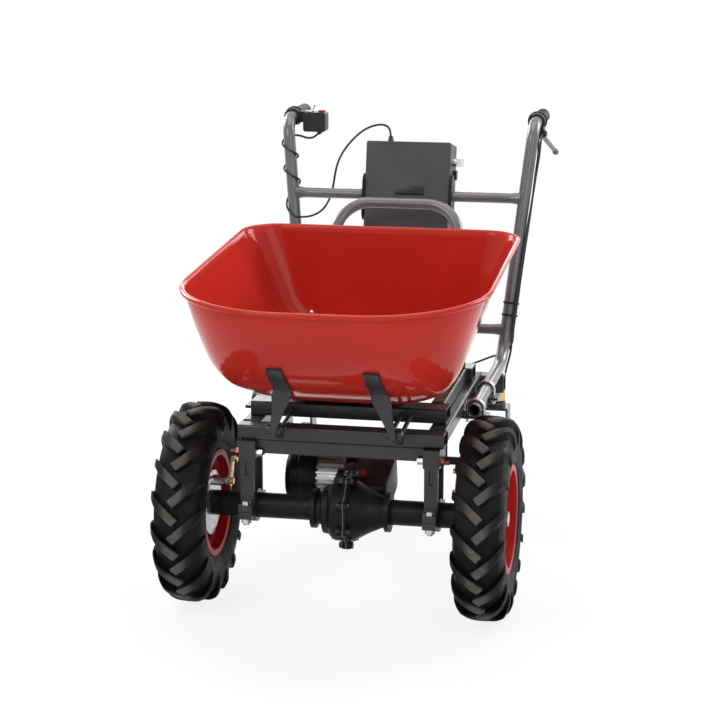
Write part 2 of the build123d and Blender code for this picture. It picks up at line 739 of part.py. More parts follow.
def handle_shelf(y):
    """A plate under the left rail that carries the handle tube, with its two bolt holes."""
    inner = RAIL_X
    outer = HANDLE_RUN_X + HANDLE_TUBE_RADIUS + 2 * U_BOLT_RADIUS + SHELF_MARGIN
    top = CHASSIS_BOTTOM
    plate = block(inner, outer, y - SHELF_LENGTH / 2, y + SHELF_LENGTH / 2, top - SHELF_WALL, top)
    for x in u_bolt_legs():
        plate -= bar_z(top - SHELF_WALL - 1, top + 1, x, y, U_BOLT_RADIUS + SEAT_GAP)
    return plate


def u_bolt_legs():
    """The places across the barrow of a U-bolt's two legs."""
    reach = HANDLE_TUBE_RADIUS + U_BOLT_RADIUS + RUNNING_FIT
    return (HANDLE_RUN_X - reach, HANDLE_RUN_X + reach)


def side_rail():
    """The left rail with the two handle shelves welded under it."""
    front = BEAM_FRONT + BEAM_DEPTH
    middle = CHASSIS_BOTTOM + RAIL_HEIGHT / 2
    rail = square_tube_y(front, RAIL_REAR_END, RAIL_X, middle, RAIL_WIDTH, RAIL_HEIGHT)
    return rail + handle_shelf(U_BOLT_FRONT_Y) + handle_shelf(U_BOLT_REAR_Y) + cable_stop()


def cable_stop():
    """The plate under the left rail that the brake cable's casing ends against."""
    cable_z = brake_arm_end()[1]
    half = CABLE_STOP_WIDTH / 2
    inner = RAIL_X - half
    low = cable_z - half
    plate = block(inner, inner + CABLE_STOP_WIDTH, -CABLE_STOP_WALL, 0, low, CHASSIS_BOTTOM)
    plate += block(inner, BRAKE_ARM_X + half, -CABLE_STOP_WALL, 0, low, low + CABLE_STOP_WIDTH)
    hole = bar_y(-CABLE_STOP_WALL - 1, 1, BRAKE_ARM_X, cable_z, BRAKE_CABLE_RADIUS / 2)
    return Pos(0, CABLE_STOP_Y + CABLE_STOP_WALL, 0) * (plate - hole)


def u_bolt(y):
    """A U-bolt over the left handle tube, with a nut under the shelf on each leg."""
    inner, outer = u_bolt_legs()
    bottom = CHASSIS_BOTTOM - SHELF_WALL
    top = HANDLE_RUN_Z + HANDLE_TUBE_RADIUS + U_BOLT_RADIUS + RUNNING_FIT
    corner = (outer - inner) / 2 - 0.01
    bow = pipe([
        (inner, y, bottom - 12), (inner, y, top), (outer, y, top), (outer, y, bottom - 12),
    ], corner, U_BOLT_RADIUS)
    nuts = []
    for x in (inner, outer):
        nut = hex_z(bottom - 6, bottom, x, y, 6.5)
        nuts.append(nut - bar_z(bottom - 7, bottom + 1, x, y, U_BOLT_RADIUS + RUNNING_FIT))
    return group(bow, *nuts)


def axle_hanger():
    """The left hanger: a collar under the beams, two legs past the axle and the upper clamp half."""
    top = CHASSIS_BOTTOM
    low = top - COLLAR_HEIGHT
    half = HANGER_WIDTH / 2
    leg_out = HANGER_LEG_GAP / 2 + HANGER_LEG_WALL
    collar = block(HANGER_X - half, HANGER_X + half, -leg_out, leg_out, low, top)
    collar -= block(
        HANGER_X - half + COLLAR_WALL, HANGER_X + half - COLLAR_WALL,
        -leg_out + HANGER_LEG_WALL, leg_out - HANGER_LEG_WALL, low - 1, top - COLLAR_WALL,
    )
    leg_half = HANGER_LEG_WIDTH / 2
    clamp_low = AXLE_Z + CLAMP_SPLIT / 2
    legs = block(HANGER_X - leg_half, HANGER_X + leg_half, -leg_out, -HANGER_LEG_GAP / 2, clamp_low, low + 2)
    slot = block(HANGER_X - 4, HANGER_X + 4, -leg_out - 1, -HANGER_LEG_GAP / 2 + 1, low - 34, low - 6)
    legs = legs - slot
    legs += block(HANGER_X - leg_half, HANGER_X + leg_half, HANGER_LEG_GAP / 2, leg_out, clamp_low, low + 2)
    clamp_top = clamp_low + CLAMP_HEIGHT
    clamp = block(HANGER_X - leg_half, HANGER_X + leg_half, -CLAMP_REACH, CLAMP_REACH, clamp_low, clamp_top)
    dome = bar_x(HANGER_X - leg_half, HANGER_X + leg_half, 0, AXLE_Z, AXLE_TUBE_RADIUS + 8)
    dome = dome & block(0, 2 * HANGER_X, -CLAMP_REACH, CLAMP_REACH, clamp_low, 2 * AXLE_Z)
    whole = collar + legs + clamp + dome
    whole -= bar_x(HANGER_X - 30, HANGER_X + 30, 0, AXLE_Z, AXLE_TUBE_RADIUS + RUNNING_FIT)
    for y in (-CLAMP_BOLT_Y, CLAMP_BOLT_Y):
        whole -= bar_z(clamp_low - 1, clamp_low + CLAMP_HEIGHT + 1, HANGER_X, y, M12_RADIUS + SEAT_GAP)
    bolt_z = low + COLLAR_HEIGHT / 3
    return whole - bar_x(HANGER_X - 30, HANGER_X + 30, COLLAR_BOLT_Y, bolt_z, M10_RADIUS + SEAT_GAP)


def clamp_cap():
    """The left lower clamp half under the axle tube."""
    half = HANGER_LEG_WIDTH / 2
    top = AXLE_Z - CLAMP_SPLIT / 2
    cap = block(HANGER_X - half, HANGER_X + half, -CLAMP_REACH, CLAMP_REACH, top - CLAMP_HEIGHT, top)
    dome = bar_x(HANGER_X - half, HANGER_X + half, 0, AXLE_Z, AXLE_TUBE_RADIUS + 8)
    cap += dome & block(0, 2 * HANGER_X, -CLAMP_REACH, CLAMP_REACH, 0, top)
    cap -= bar_x(HANGER_X - 30, HANGER_X + 30, 0, AXLE_Z, AXLE_TUBE_RADIUS + RUNNING_FIT)
    for y in (-CLAMP_BOLT_Y, CLAMP_BOLT_Y):
        cap -= bar_z(top - CLAMP_HEIGHT - 1, top + 1, HANGER_X, y, M12_RADIUS + SEAT_GAP)
    return cap


def axle_fasteners():
    """The left clamp bolts and the collar's cross bolt, each with its nut."""
    head = AXLE_Z + CLAMP_SPLIT / 2 + CLAMP_HEIGHT
    tail = AXLE_Z - CLAMP_SPLIT / 2 - CLAMP_HEIGHT
    pieces = []
    for y in (-CLAMP_BOLT_Y, CLAMP_BOLT_Y):
        bolt = bar_z(tail - 14, head, HANGER_X, y, M12_RADIUS)
        pieces.append(bolt + hex_z(head, head + 8, HANGER_X, y, 10.5))
        nut = hex_z(tail - 10, tail, HANGER_X, y, 10.5)
        pieces.append(nut - bar_z(tail - 11, tail + 1, HANGER_X, y, M12_RADIUS + RUNNING_FIT))
    z = CHASSIS_BOTTOM - COLLAR_HEIGHT + COLLAR_HEIGHT / 3
    inner = HANGER_X - HANGER_WIDTH / 2
    outer = HANGER_X + HANGER_WIDTH / 2
    shank = bar_x(inner, COLLAR_BOLT_OUTER_END, COLLAR_BOLT_Y, z, M10_RADIUS)
    pieces.append(shank + hex_x(COLLAR_BOLT_INNER_END, inner, COLLAR_BOLT_Y, z, 7.5))
    nut = hex_x(outer, outer + 8, COLLAR_BOLT_Y, z, 8.5)
    pieces.append(nut - bar_x(outer - 1, outer + 9, COLLAR_BOLT_Y, z, M10_RADIUS + RUNNING_FIT))
    return group(*pieces)


def rear_beam():
    """The cross beam under the handle tubes that carries the casters."""
    z = REAR_BEAM_TOP - REAR_BEAM_SIZE / 2
    half = REAR_BEAM_HALF_WIDTH
    return square_tube_x(-half, half, REAR_BEAM_Y, z, REAR_BEAM_SIZE, REAR_BEAM_SIZE)


def add_chassis():
    """Beams, rails, hangers and what bolts them to the axle and the handles."""
    NODES["front_beam"] = front_beam()
    NODES["lower_beam"] = lower_beam()
    NODES["side_rails"] = both(side_rail())
    NODES["rear_beam"] = rear_beam()
    NODES["axle_hangers"] = both(axle_hanger())
    NODES["axle_clamps"] = both(clamp_cap())
    NODES["axle_fasteners"] = group(both(axle_fasteners()), diff_bolts())
    NODES["u_bolts"] = both(group(u_bolt(U_BOLT_FRONT_Y), u_bolt(U_BOLT_REAR_Y)))


# Tray


def tray_plan(share):
    """The tray's plan at one height, from 0 at the floor to 1 at the rim.

    A rounded front, long sides that close in towards the back, and two rear corners. Each size runs from
    its floor value to its rim value, fast at first and slower near the rim.
    """
    side = 1 - (1 - share) ** TRAY_SIDE_FLARE
    ahead = 1 - (1 - share) ** TRAY_FRONT_FLARE
    behind = 1 - (1 - share) ** TRAY_REAR_FLARE
    front = TRAY_FLOOR_FRONT + (TRAY_FRONT - TRAY_FLOOR_FRONT) * ahead
    rear = TRAY_FLOOR_REAR + (TRAY_REAR - TRAY_FLOOR_REAR) * behind
    front_half = TRAY_FLOOR_HALF_WIDTH + (TRAY_FRONT_HALF_WIDTH - TRAY_FLOOR_HALF_WIDTH) * side
    rear_half = TRAY_FLOOR_REAR_HALF_WIDTH + (TRAY_REAR_HALF_WIDTH - TRAY_FLOOR_REAR_HALF_WIDTH) * side
    front_round = TRAY_FLOOR_FRONT_RADIUS + (TRAY_FRONT_RADIUS - TRAY_FLOOR_FRONT_RADIUS) * side
    rear_round = TRAY_FLOOR_REAR_RADIUS + (TRAY_REAR_RADIUS - TRAY_FLOOR_REAR_RADIUS) * side
    points = [(-rear_half, rear), (rear_half, rear), (front_half, front), (-front_half, front)]
    radii = [rear_round, rear_round, front_round, front_round]
    return make_face(FilletPolyline(points, radius=radii, close=True))


def tray_bowl(inset):
    """The tray's outside as a solid bowl, or its inside when set in by the wall."""
    levels = []
    for share in (0, 0.1, 0.3, 0.6, 1):
        plan = tray_plan(share)
        plan = offset(plan, -inset) if inset else plan
        level = Plane((0, 0, TRAY_FLOOR_Z + (TRAY_RIM_Z - TRAY_FLOOR_Z) * share))
        level = level.rotated((TRAY_RIM_TILT * share, 0, 0))
        lift = inset if share == 0 else 0
        levels.append(level.offset(lift) * plan)
    return loft(levels)


def rim_band(outer):
    """The rolled band round the tray's rim."""
    plan = tray_plan(1)
    band = extrude(offset(plan, RIM_BAND_WIDTH) - offset(plan, -TRAY_WALL), amount=-RIM_BAND_HEIGHT)
    faces = band.faces().sort_by(Axis.Z)
    rounded = faces[0].outer_wire().edges() + faces[-1].outer_wire().edges()
    return RIM_PLANE * fillet(rounded, RIM_BAND_ROUND) - outer


def tray(outer):
    """The pressed tray: a bowl with thin walls and a rolled rim."""
    return outer - tray_bowl(TRAY_WALL) + rim_band(outer)


def wall_spot(outer, x, z, toward):
    """Where a line along Y meets the tray's outside, with the way out of the wall there."""
    line = Axis((x, -toward * 2 * TRAY_REAR, z), (0, toward, 0))
    spot, normal = outer.find_intersection_points(line)[0]
    return spot, normal


def flat_bar(low, high, width_low, width_high):
    """A flat bar from one point to another, with its width across the barrow."""
    start = Vector(*low)
    end = Vector(*high)
    along = (end - start).normalized()
    across = Vector(1, 0, 0)
    across = (across - along * across.dot(along)).normalized()
    base = Plane(start, x_dir=across, z_dir=along) * Rectangle(width_low, BRACE_WALL)
    tip = Plane(end, x_dir=across, z_dir=along) * Rectangle(width_high, BRACE_WALL)
    return loft([base, tip])


def wall_tab(spot, normal, width):
    """A flat tab against the tray's wall, the middle of its lower end and the side that stays clear."""
    across = (Vector(1, 0, 0) - normal * normal.X).normalized()
    plane = Plane(spot, x_dir=across, z_dir=normal)
    tab = extrude(plane * RectangleRounded(width, TAB_LENGTH, TAB_ROUND), amount=BRACE_WALL)
    down = plane.y_dir if plane.y_dir.Z < 0 else plane.y_dir * -1
    clear = extrude(plane * Rectangle(4 * width, 2 * TAB_LENGTH), amount=-width)
    return tab, spot + normal * (BRACE_WALL / 2) + down * (TAB_LENGTH / 2 - TAB_ROUND), clear


def front_brace(spot, normal):
    """The left V brace: a leg up to a tab on the tray's wall, a leg back to its frame, and knuckles."""
    pivot = Vector(PIVOT_X, PIVOT_Y, PIVOT_Z)
    tab, tab_end, clear = wall_tab(spot, normal, BRACE_WIDTH)
    frame_end = (PIVOT_X, TRAY_FRONT_TUBE_Y, TRAY_FLOOR_Z - TRAY_TUBE_HEIGHT / 2)
    knuckle = LUG_PLATE + 2 * (KNUCKLE_LENGTH + BODY_GAP)
    front_leg = flat_bar(pivot, tab_end, knuckle, BRACE_WIDTH) - clear
    rear_leg = flat_bar(pivot, frame_end, knuckle, knuckle)
    rear_leg -= block(0, 2 * PIVOT_X, TRAY_FRONT_TUBE_Y, TRAY_FRONT_TUBE_Y + 50, 0, 2 * PIVOT_Z)
    eye = bar_x(PIVOT_X - knuckle / 2, PIVOT_X + knuckle / 2, PIVOT_Y, PIVOT_Z, PIVOT_EYE_RADIUS)
    brace = front_leg + tab + rear_leg + eye
    slot = LUG_PLATE / 2 + BODY_GAP
    low = PIVOT_Z - PIVOT_EYE_RADIUS
    high = PIVOT_Z + PIVOT_EYE_RADIUS
    brace -= bar_x(PIVOT_X - slot, PIVOT_X + slot, PIVOT_Y, PIVOT_Z, PIVOT_EYE_RADIUS + 2)
    brace -= block(PIVOT_X - slot, PIVOT_X + slot, PIVOT_Y, BEAM_FRONT, low, high)
    pin_hole = PIVOT_PIN_RADIUS + RUNNING_FIT
    return brace - bar_x(PIVOT_X - knuckle, PIVOT_X + knuckle, PIVOT_Y, PIVOT_Z, pin_hole)


def rear_strap(spot, normal):
    """The left strap from the tray frame's rear tube up to a tab on the tray's rear wall."""
    foot = Vector(STRAP_X, TRAY_REAR_TUBE_Y + STRAP_SETBACK, TRAY_FLOOR_Z)
    tab, tab_end, clear = wall_tab(spot, normal, STRAP_WIDTH)
    along = (tab_end - foot).normalized()
    strap = flat_bar(foot - along * BRACE_WALL, tab_end, STRAP_WIDTH, STRAP_WIDTH) - clear + tab
    return strap - block(0, 2 * STRAP_X, 0, TRAY_REAR, 0, TRAY_FLOOR_Z)


def along_axis(spot, normal, start, end, radius):
    """A round bar along a wall's normal, between two distances from its outer side."""
    return extrude(Plane(spot + normal * start, z_dir=normal) * Circle(radius), amount=end - start)


def wall_bolt(outer, spot, normal):
    """A bolt through the wall and its brace, with a domed head inside and a nut outside."""
    inner = -TRAY_WALL
    outside = BRACE_WALL
    head = along_axis(spot, normal, inner - TRAY_BOLT_HEAD_HEIGHT, 0, TRAY_BOLT_HEAD_RADIUS)
    head = fillet(head.edges().sort_by(Axis(spot, normal))[0], TRAY_BOLT_HEAD_HEIGHT - 1)
    head -= outer - tray_bowl(TRAY_WALL)
    bolt = head + along_axis(spot, normal, inner - 1, outside + 11, M8_RADIUS)
    nut = extrude(Plane(spot + normal * outside, z_dir=normal) * RegularPolygon(7.2, 6), amount=7)
    nut -= along_axis(spot, normal, outside - 1, outside + 9, M8_RADIUS + RUNNING_FIT)
    return group(bolt, nut)


def loop_handle():
    """The bent tube behind the tray that lifts it, standing on the frame's rear tube."""
    foot_y = TRAY_REAR_TUBE_Y + TRAY_TUBE_DEPTH - LOOP_TUBE_RADIUS - 4
    foot = (LOOP_HALF_WIDTH, foot_y, TRAY_FLOOR_Z - 2)
    top = (LOOP_HALF_WIDTH, LOOP_TOP_Y, LOOP_TOP_Z)
    points = [foot, top, (-top[0], top[1], top[2]), (-foot[0], foot[1], foot[2])]
    loop = pipe(points, LOOP_CORNER, LOOP_TUBE_RADIUS, LOOP_TUBE_WALL)
    return loop - block(-TRAY_TUBE_HALF_LENGTH, TRAY_TUBE_HALF_LENGTH, 0, TRAY_REAR, 0, TRAY_FLOOR_Z)


def pivot_pin():
    """The left pivot pin through the lug and the brace's knuckles."""
    half = LUG_PLATE / 2 + KNUCKLE_LENGTH + BODY_GAP + 3
    pin = bar_x(PIVOT_X - half, PIVOT_X + half, PIVOT_Y, PIVOT_Z, PIVOT_PIN_RADIUS)
    return pin + bar_x(PIVOT_X + half - 2, PIVOT_X + half + 3, PIVOT_Y, PIVOT_Z, PIVOT_PIN_RADIUS + 3)


def add_tray():
    """The tray, its frame, braces, bolts, loop and pivot pins."""
    outer = tray_bowl(0)
    front = wall_spot(outer, BRACE_TOP_X, BRACE_BOLT_Z, 1)
    rear = wall_spot(outer, STRAP_X, STRAP_BOLT_Z, -1)
    bolts = [both(wall_bolt(outer, *place)) for place in (front, rear)]
    reach = (-TRAY_BOLT_HEAD_RADIUS, 2 * BRACE_WALL, M8_RADIUS + SEAT_GAP)
    holes = [both(along_axis(*place, *reach)) for place in (front, rear)]
    NODES["tray"] = tray(outer) - holes
    NODES["front_braces"] = group(both(front_brace(*front)) - holes)
    NODES["rear_straps"] = group(both(rear_strap(*rear)) - holes)
    NODES["tray_fasteners"] = group(both(pivot_pin()), *bolts)
    middle = CHASSIS_TOP + TRAY_TUBE_HEIGHT / 2
    end = TRAY_TUBE_HALF_LENGTH
    cross = []
    for front_y in (TRAY_FRONT_TUBE_Y, TRAY_REAR_TUBE_Y):
        y = front_y + TRAY_TUBE_DEPTH / 2
        cross.append(square_tube_x(-end, end, y, middle, TRAY_TUBE_DEPTH, TRAY_TUBE_HEIGHT))
    NODES["tray_cross_tubes"] = group(*cross)
    start = TRAY_FRONT_TUBE_Y + TRAY_TUBE_DEPTH
    size = (TRAY_SIDE_TUBE_WIDTH, TRAY_TUBE_HEIGHT)
    NODES["tray_side_tubes"] = both(square_tube_y(start, TRAY_REAR_TUBE_Y, TRAY_SIDE_TUBE_X, middle, *size))
    NODES["loop_handle"] = loop_handle()


# Handles


def handle_points():
    """The left handle tube's corners, from its open front end to inside the grip."""
    return [
        Vector(HANDLE_RUN_X, HANDLE_FRONT_END, HANDLE_RUN_Z),
        Vector(HANDLE_RUN_X, HANDLE_BEND_Y, HANDLE_RUN_Z),
        Vector(HANDLE_TOP_X, HANDLE_TOP_Y, HANDLE_TOP_Z),
        Vector(HANDLE_TOP_X, GRIP_END - GRIP_CAP, HANDLE_TOP_Z),
    ]


def upright_at(z):
    """The centre of the left handle's upright at one height."""
    low, high = handle_points()[1:3]
    return low + (high - low) * ((z - low.Z) / (high.Z - low.Z))


def handle():
    """The left handle tube, open at its front end."""
    corners = [HANDLE_BEND_RADIUS, HANDLE_TOP_RADIUS]
    return pipe(handle_points(), corners, HANDLE_TUBE_RADIUS, HANDLE_TUBE_WALL)


def cross_bar_half(z, inner_x):
    """A cross bar from the left upright in to one place, flared where it meets the upright."""
    end = upright_at(z)
    outer = end.X - HANDLE_TUBE_RADIUS / 2
    bar = bar_x(inner_x, outer, end.Y, z, CROSS_BAR_RADIUS)
    start = Plane((outer - CROSS_BAR_FLARE_LENGTH, end.Y, z), x_dir=(0, 1, 0), z_dir=(1, 0, 0))
    stop = Plane((outer, end.Y, z), x_dir=(0, 1, 0), z_dir=(1, 0, 0))
    flare = loft([start * Circle(CROSS_BAR_RADIUS), stop * Circle(CROSS_BAR_RADIUS + CROSS_BAR_FLARE)])
    return bar + flare - solid_handle()


def solid_handle():
    """The left handle's outside, used to trim what meets it."""
    return pipe(handle_points(), [HANDLE_BEND_RADIUS, HANDLE_TOP_RADIUS], HANDLE_TUBE_RADIUS)


def add_handles():
    """Handle tubes and the bars between them."""
    NODES["left_handle"] = handle()
    NODES["right_handle"] = mirrored(handle())
    upper = cross_bar_half(UPPER_BAR_Z, BOX_WIDTH / 2 + CRADLE_WALL)
    lower = cross_bar_half(LOWER_BAR_Z, 0)
    NODES["cross_bars"] = group(both(upper), lower + mirrored(lower))


# Casters


def caster_fork():
    """The left fork: a crown with its swivel stem, two arms and the wheel's axle bolt."""
    head_low = REAR_BEAM_TOP - REAR_BEAM_SIZE - CASTER_HEAD_HEIGHT
    crown_top = head_low - BODY_GAP
    crown_low = crown_top - FORK_CROWN_HEIGHT
    half = FORK_GAP / 2 + FORK_WALL
    axle_z = CASTER_WHEEL_RADIUS
    crown = bar_z(crown_low + 6, crown_top, 0, 0, FORK_CROWN_RADIUS - 4)
    plate = block(-half, half, -FORK_CROWN_RADIUS, FORK_CROWN_RADIUS, crown_low, crown_low + 6)
    stem = bar_z(crown_top - 1, head_low + CASTER_HEAD_HEIGHT - 4, 0, 0, CASTER_STEM_RADIUS)
    top_line = [(-FORK_CROWN_RADIUS, crown_low + 6), (FORK_CROWN_RADIUS, crown_low + 6)]
    low_line = [(CASTER_TRAIL + 15, axle_z + 6), (CASTER_TRAIL - 15, axle_z + 6)]
    outline = make_face(Polyline([*top_line, *low_line], close=True))
    outline += Pos(CASTER_TRAIL, axle_z) * Circle(16)
    arm = extrude(Plane.YZ * outline, amount=FORK_WALL)
    arms = Pos(FORK_GAP / 2, 0, 0) * arm + Pos(-half, 0, 0) * arm
    bolt = bar_x(-half - 2, half + 2, CASTER_TRAIL, axle_z, CASTER_AXLE_RADIUS)
    heads = hex_x(half, half + 6, CASTER_TRAIL, axle_z, 10)
    heads += hex_x(-half - 8, -half, CASTER_TRAIL, axle_z, 10)
    return Pos(CASTER_X, REAR_BEAM_Y, 0) * (crown + plate + stem + arms + bolt + heads)


def caster_head():
    """The left swivel head bolted under the rear beam, bored for the fork's stem."""
    top = REAR_BEAM_TOP - REAR_BEAM_SIZE
    low = top - CASTER_HEAD_HEIGHT
    head = bar_z(low, top, CASTER_X, REAR_BEAM_Y, CASTER_HEAD_RADIUS)
    head = fillet(head.edges().group_by(Axis.Z)[0], 4)
    return head - bar_z(low - 1, top - 3, CASTER_X, REAR_BEAM_Y, CASTER_STEM_RADIUS + RUNNING_FIT)


def caster_wheel():
    """The left caster wheel: a hub with a web and a rounded rubber tyre in one."""
    half = CASTER_WHEEL_WIDTH / 2
    r = CASTER_WHEEL_RADIUS
    bore = CASTER_AXLE_RADIUS + RUNNING_FIT
    hub_half = FORK_GAP / 2 - 1
    wheel = revolve_x([
        (-hub_half, bore), (-hub_half, CASTER_HUB_RADIUS), (-half + 10, CASTER_HUB_RADIUS + 2),
        (-half + 14, CASTER_RIM_RADIUS - 6), (-half + 2, CASTER_RIM_RADIUS), (-half, CASTER_RIM_RADIUS + 6),
        (-half, r - 16), (-half + 6, r - 5), (-half + 14, r),
        (half - 14, r), (half - 6, r - 5), (half, r - 16),
        (half, CASTER_RIM_RADIUS + 6), (half - 2, CASTER_RIM_RADIUS), (half - 14, CASTER_RIM_RADIUS - 6),
        (half - 10, CASTER_HUB_RADIUS + 2), (hub_half, CASTER_HUB_RADIUS), (hub_half, bore),
    ], z=r)
    return Pos(CASTER_X, REAR_BEAM_Y + CASTER_TRAIL, 0) * wheel


def add_casters():
    """Swivel heads, forks and wheels on both sides."""
    NODES["caster_heads"] = both(caster_head())
    NODES["left_caster_fork"] = caster_fork()
    NODES["right_caster_fork"] = mirrored(caster_fork())
    NODES["left_caster_wheel"] = caster_wheel()
    NODES["right_caster_wheel"] = mirrored(caster_wheel())


# Battery box, in its own place: X across, Y back from its front face, Z up its height


def box_place():
    """The leaning place of the battery box between the handles."""
    return Pos(0, BOX_FRONT_Y, BOX_BOTTOM_Z) * Rot(-BOX_LEAN, 0, 0)


def box_shell():
    """The box, open at the back, with rounded edges and a lip that the cover laps."""
    half = BOX_WIDTH / 2
    body = block(-half, half, 0, BOX_DEPTH, 0, BOX_HEIGHT)
    body = fillet(body.edges().filter_by(Axis.Y), BOX_EDGE)
    body = fillet(body.faces().sort_by(Axis.Y)[0].edges(), BOX_WALL)
    side = half - BOX_WALL
    inside = block(-side, side, BOX_WALL, BOX_DEPTH + 1, BOX_WALL, BOX_HEIGHT - BOX_WALL)
    body -= inside
    body -= Pos(GLAND_X, BOX_DEPTH / 2, BOX_HEIGHT) * Cylinder(CONTROL_CABLE_RADIUS + SEAT_GAP, 3 * BOX_WALL)
    return body


def box_cover():
    """The back cover that closes the box, let into it."""
    half = BOX_WIDTH / 2 - BOX_WALL - SEAT_GAP
    low = BOX_WALL + SEAT_GAP
    plate = block(-half, half, BOX_DEPTH - COVER_LAP, BOX_DEPTH, low, BOX_HEIGHT - low)
    wall = 2 * BOX_WALL
    hollow = block(
        -half + wall, half - wall, BOX_DEPTH - COVER_LAP - 1, BOX_DEPTH - BOX_WALL,
        low + wall, BOX_HEIGHT - low - wall,
    )
    return plate - hollow


def cradle_plate():
    """The left plate that carries the box between the upper cross bars."""
    half = BOX_WIDTH / 2
    face = Pos(CRADLE_WIDTH / 2 - 4, CRADLE_MIDDLE_Z) * SlotCenterToCenter(
        CRADLE_HEIGHT - CRADLE_WIDTH, CRADLE_WIDTH, rotation=90
    )
    return Pos(half, 0, 0) * extrude(Plane.YZ * face, amount=CRADLE_WALL)


def add_box():
    """The battery box, what it holds and what is on it."""
    place = box_place()
    half = BOX_WIDTH / 2
    inner = half - BOX_WALL - BATTERY_MARGIN
    deep = BOX_DEPTH - COVER_LAP - BATTERY_MARGIN
    NODES["box_shell"] = place * box_shell()
    NODES["box_cover"] = place * box_cover()
    NODES["box_cradle"] = group(place * cradle_plate(), mirrored(place * cradle_plate()))
    battery = block(-inner, inner, BOX_WALL, deep, BOX_WALL, BOX_WALL + BATTERY_HEIGHT)
    NODES["battery_pack"] = place * fillet(battery.edges().filter_by(Axis.Z), 6)
    base = BOX_WALL + BATTERY_HEIGHT
    controller = block(-inner + 20, inner - 20, BOX_WALL, deep - 20, base, base + CONTROLLER_HEIGHT)
    NODES["controller"] = place * controller
    key_y = BOX_DEPTH * 0.42
    barrel = bar_x(half, half + KEY_BARREL_LENGTH, key_y, KEY_Z, KEY_BARREL_RADIUS)
    barrel -= bar_x(half + 2, half + KEY_BARREL_LENGTH + 1, key_y, KEY_Z, KEY_BLADE_RADIUS + RUNNING_FIT)
    socket = bar_x(half, half + SOCKET_LENGTH, SOCKET_Y, SOCKET_Z, SOCKET_RADIUS)
    NODES["key_switch"] = place * barrel
    NODES["charge_socket"] = place * socket
    bow = half + KEY_BARREL_LENGTH + BODY_GAP
    key = bar_x(half + 3, bow + 1, key_y, KEY_Z, KEY_BLADE_RADIUS)
    key += block(bow, bow + 16, key_y - 2, key_y + 2, KEY_Z - 9, KEY_Z + 9)
    NODES["key"] = place * key
    gland = Pos(0, 0, GLAND_HEIGHT / 2) * Cone(GLAND_RADIUS, GLAND_RADIUS - 3, GLAND_HEIGHT)
    gland -= Cylinder(CONTROL_CABLE_RADIUS + RUNNING_FIT, 3 * GLAND_HEIGHT)
    gland = Pos(GLAND_X, BOX_DEPTH / 2, BOX_HEIGHT) * gland
    NODES["cable_gland"] = place * gland


# Hand controls


def grip(front):
    """A rubber grip with a front flange and a closed end, on the left handle's end."""
    x, z = HANDLE_TOP_X, HANDLE_TOP_Z
    body = bar_y(front, GRIP_END, x, z, GRIP_RADIUS)
    body = fillet(body.edges().sort_by(Axis.Y)[-1], 4)
    body += bar_y(front, front + GRIP_FLANGE_WALL, x, z, GRIP_FLANGE_RADIUS)
    return body - bar_y(front - 1, GRIP_END - GRIP_CAP + BODY_GAP, x, z, HANDLE_TUBE_RADIUS + RUNNING_FIT)


def clamp_ring(y0, y1):
    """A ring that clamps a control on the left handle's top run."""
    x, z = HANDLE_TOP_X, HANDLE_TOP_Z
    ring = bar_y(y0, y1, x, z, HANDLE_TUBE_RADIUS + CLAMP_RING_WALL)
    return ring - bar_y(y0 - 1, y1 + 1, x, z, HANDLE_TUBE_RADIUS + RUNNING_FIT)


def control_place():
    """The front and back of the clamped controls, just ahead of the grips."""
    back = GRIP_END - GRIP_LENGTH - BODY_GAP
    return back - CLAMP_RING_LENGTH, back


def switch_place():
    """The right switch box's outer side, middle and top, which its controls share."""
    back = control_place()[1]
    outer = -HANDLE_TOP_X + SWITCH_BOX_OFFSET
    return outer, back - SWITCH_BOX_DEPTH / 2, HANDLE_TOP_Z + SWITCH_BOX_RISE


def switch_box():
    """The switch housing beside the right grip, with wells for its toggle and button."""
    outer, middle, top = switch_place()
    front, back = control_place()
    half = SWITCH_BOX_DEPTH / 2
    case = block(outer, outer + SWITCH_BOX_WIDTH, middle - half, middle + half, top - SWITCH_BOX_HEIGHT, top)
    case = fillet(case.edges().filter_by(Axis.Y), SWITCH_BOX_EDGE)
    neck = SWITCH_NECK_HEIGHT / 2
    case += block(-HANDLE_TOP_X, outer + 1, front, back, HANDLE_TOP_Z - neck, HANDLE_TOP_Z + neck)
    case += mirrored(clamp_ring(front, back))
    case -= bar_y(front - 30, back + 30, -HANDLE_TOP_X, HANDLE_TOP_Z, HANDLE_TUBE_RADIUS + RUNNING_FIT)
    start, way = cable_exit()
    boss = Plane(start, z_dir=way * -1) * Circle(CABLE_BOSS_RADIUS)
    case += extrude(boss, amount=2 * CABLE_BOSS_LENGTH)
    case -= bar_z(top - BUTTON_DEPTH, top + 1, outer + BUTTON_X, middle, BUTTON_RADIUS + BODY_GAP)
    well = TOGGLE_DEPTH + TOGGLE_BALL_RADIUS + RUNNING_FIT
    return case - bar_z(top - well, top + 1, outer + TOGGLE_X, middle, TOGGLE_WELL_RADIUS)


def cable_exit():
    """Where the control cable leaves the switch box's underside, and which way."""
    outer, middle, top = switch_place()
    way = Vector(-1, 0, -1).normalized()
    place = Vector(outer + SWITCH_BOX_WIDTH * 0.72, middle, top - SWITCH_BOX_HEIGHT)
    return place + way * CABLE_BOSS_LENGTH, way


def red_button():
    """The push button in the switch box's top."""
    outer, middle, top = switch_place()
    low = top - BUTTON_DEPTH + BUTTON_TRAVEL + BODY_GAP
    button = bar_z(low, top + BUTTON_PROUD, outer + BUTTON_X, middle, BUTTON_RADIUS)
    return fillet(button.edges().group_by(Axis.Z)[-1], BUTTON_PROUD - 1)


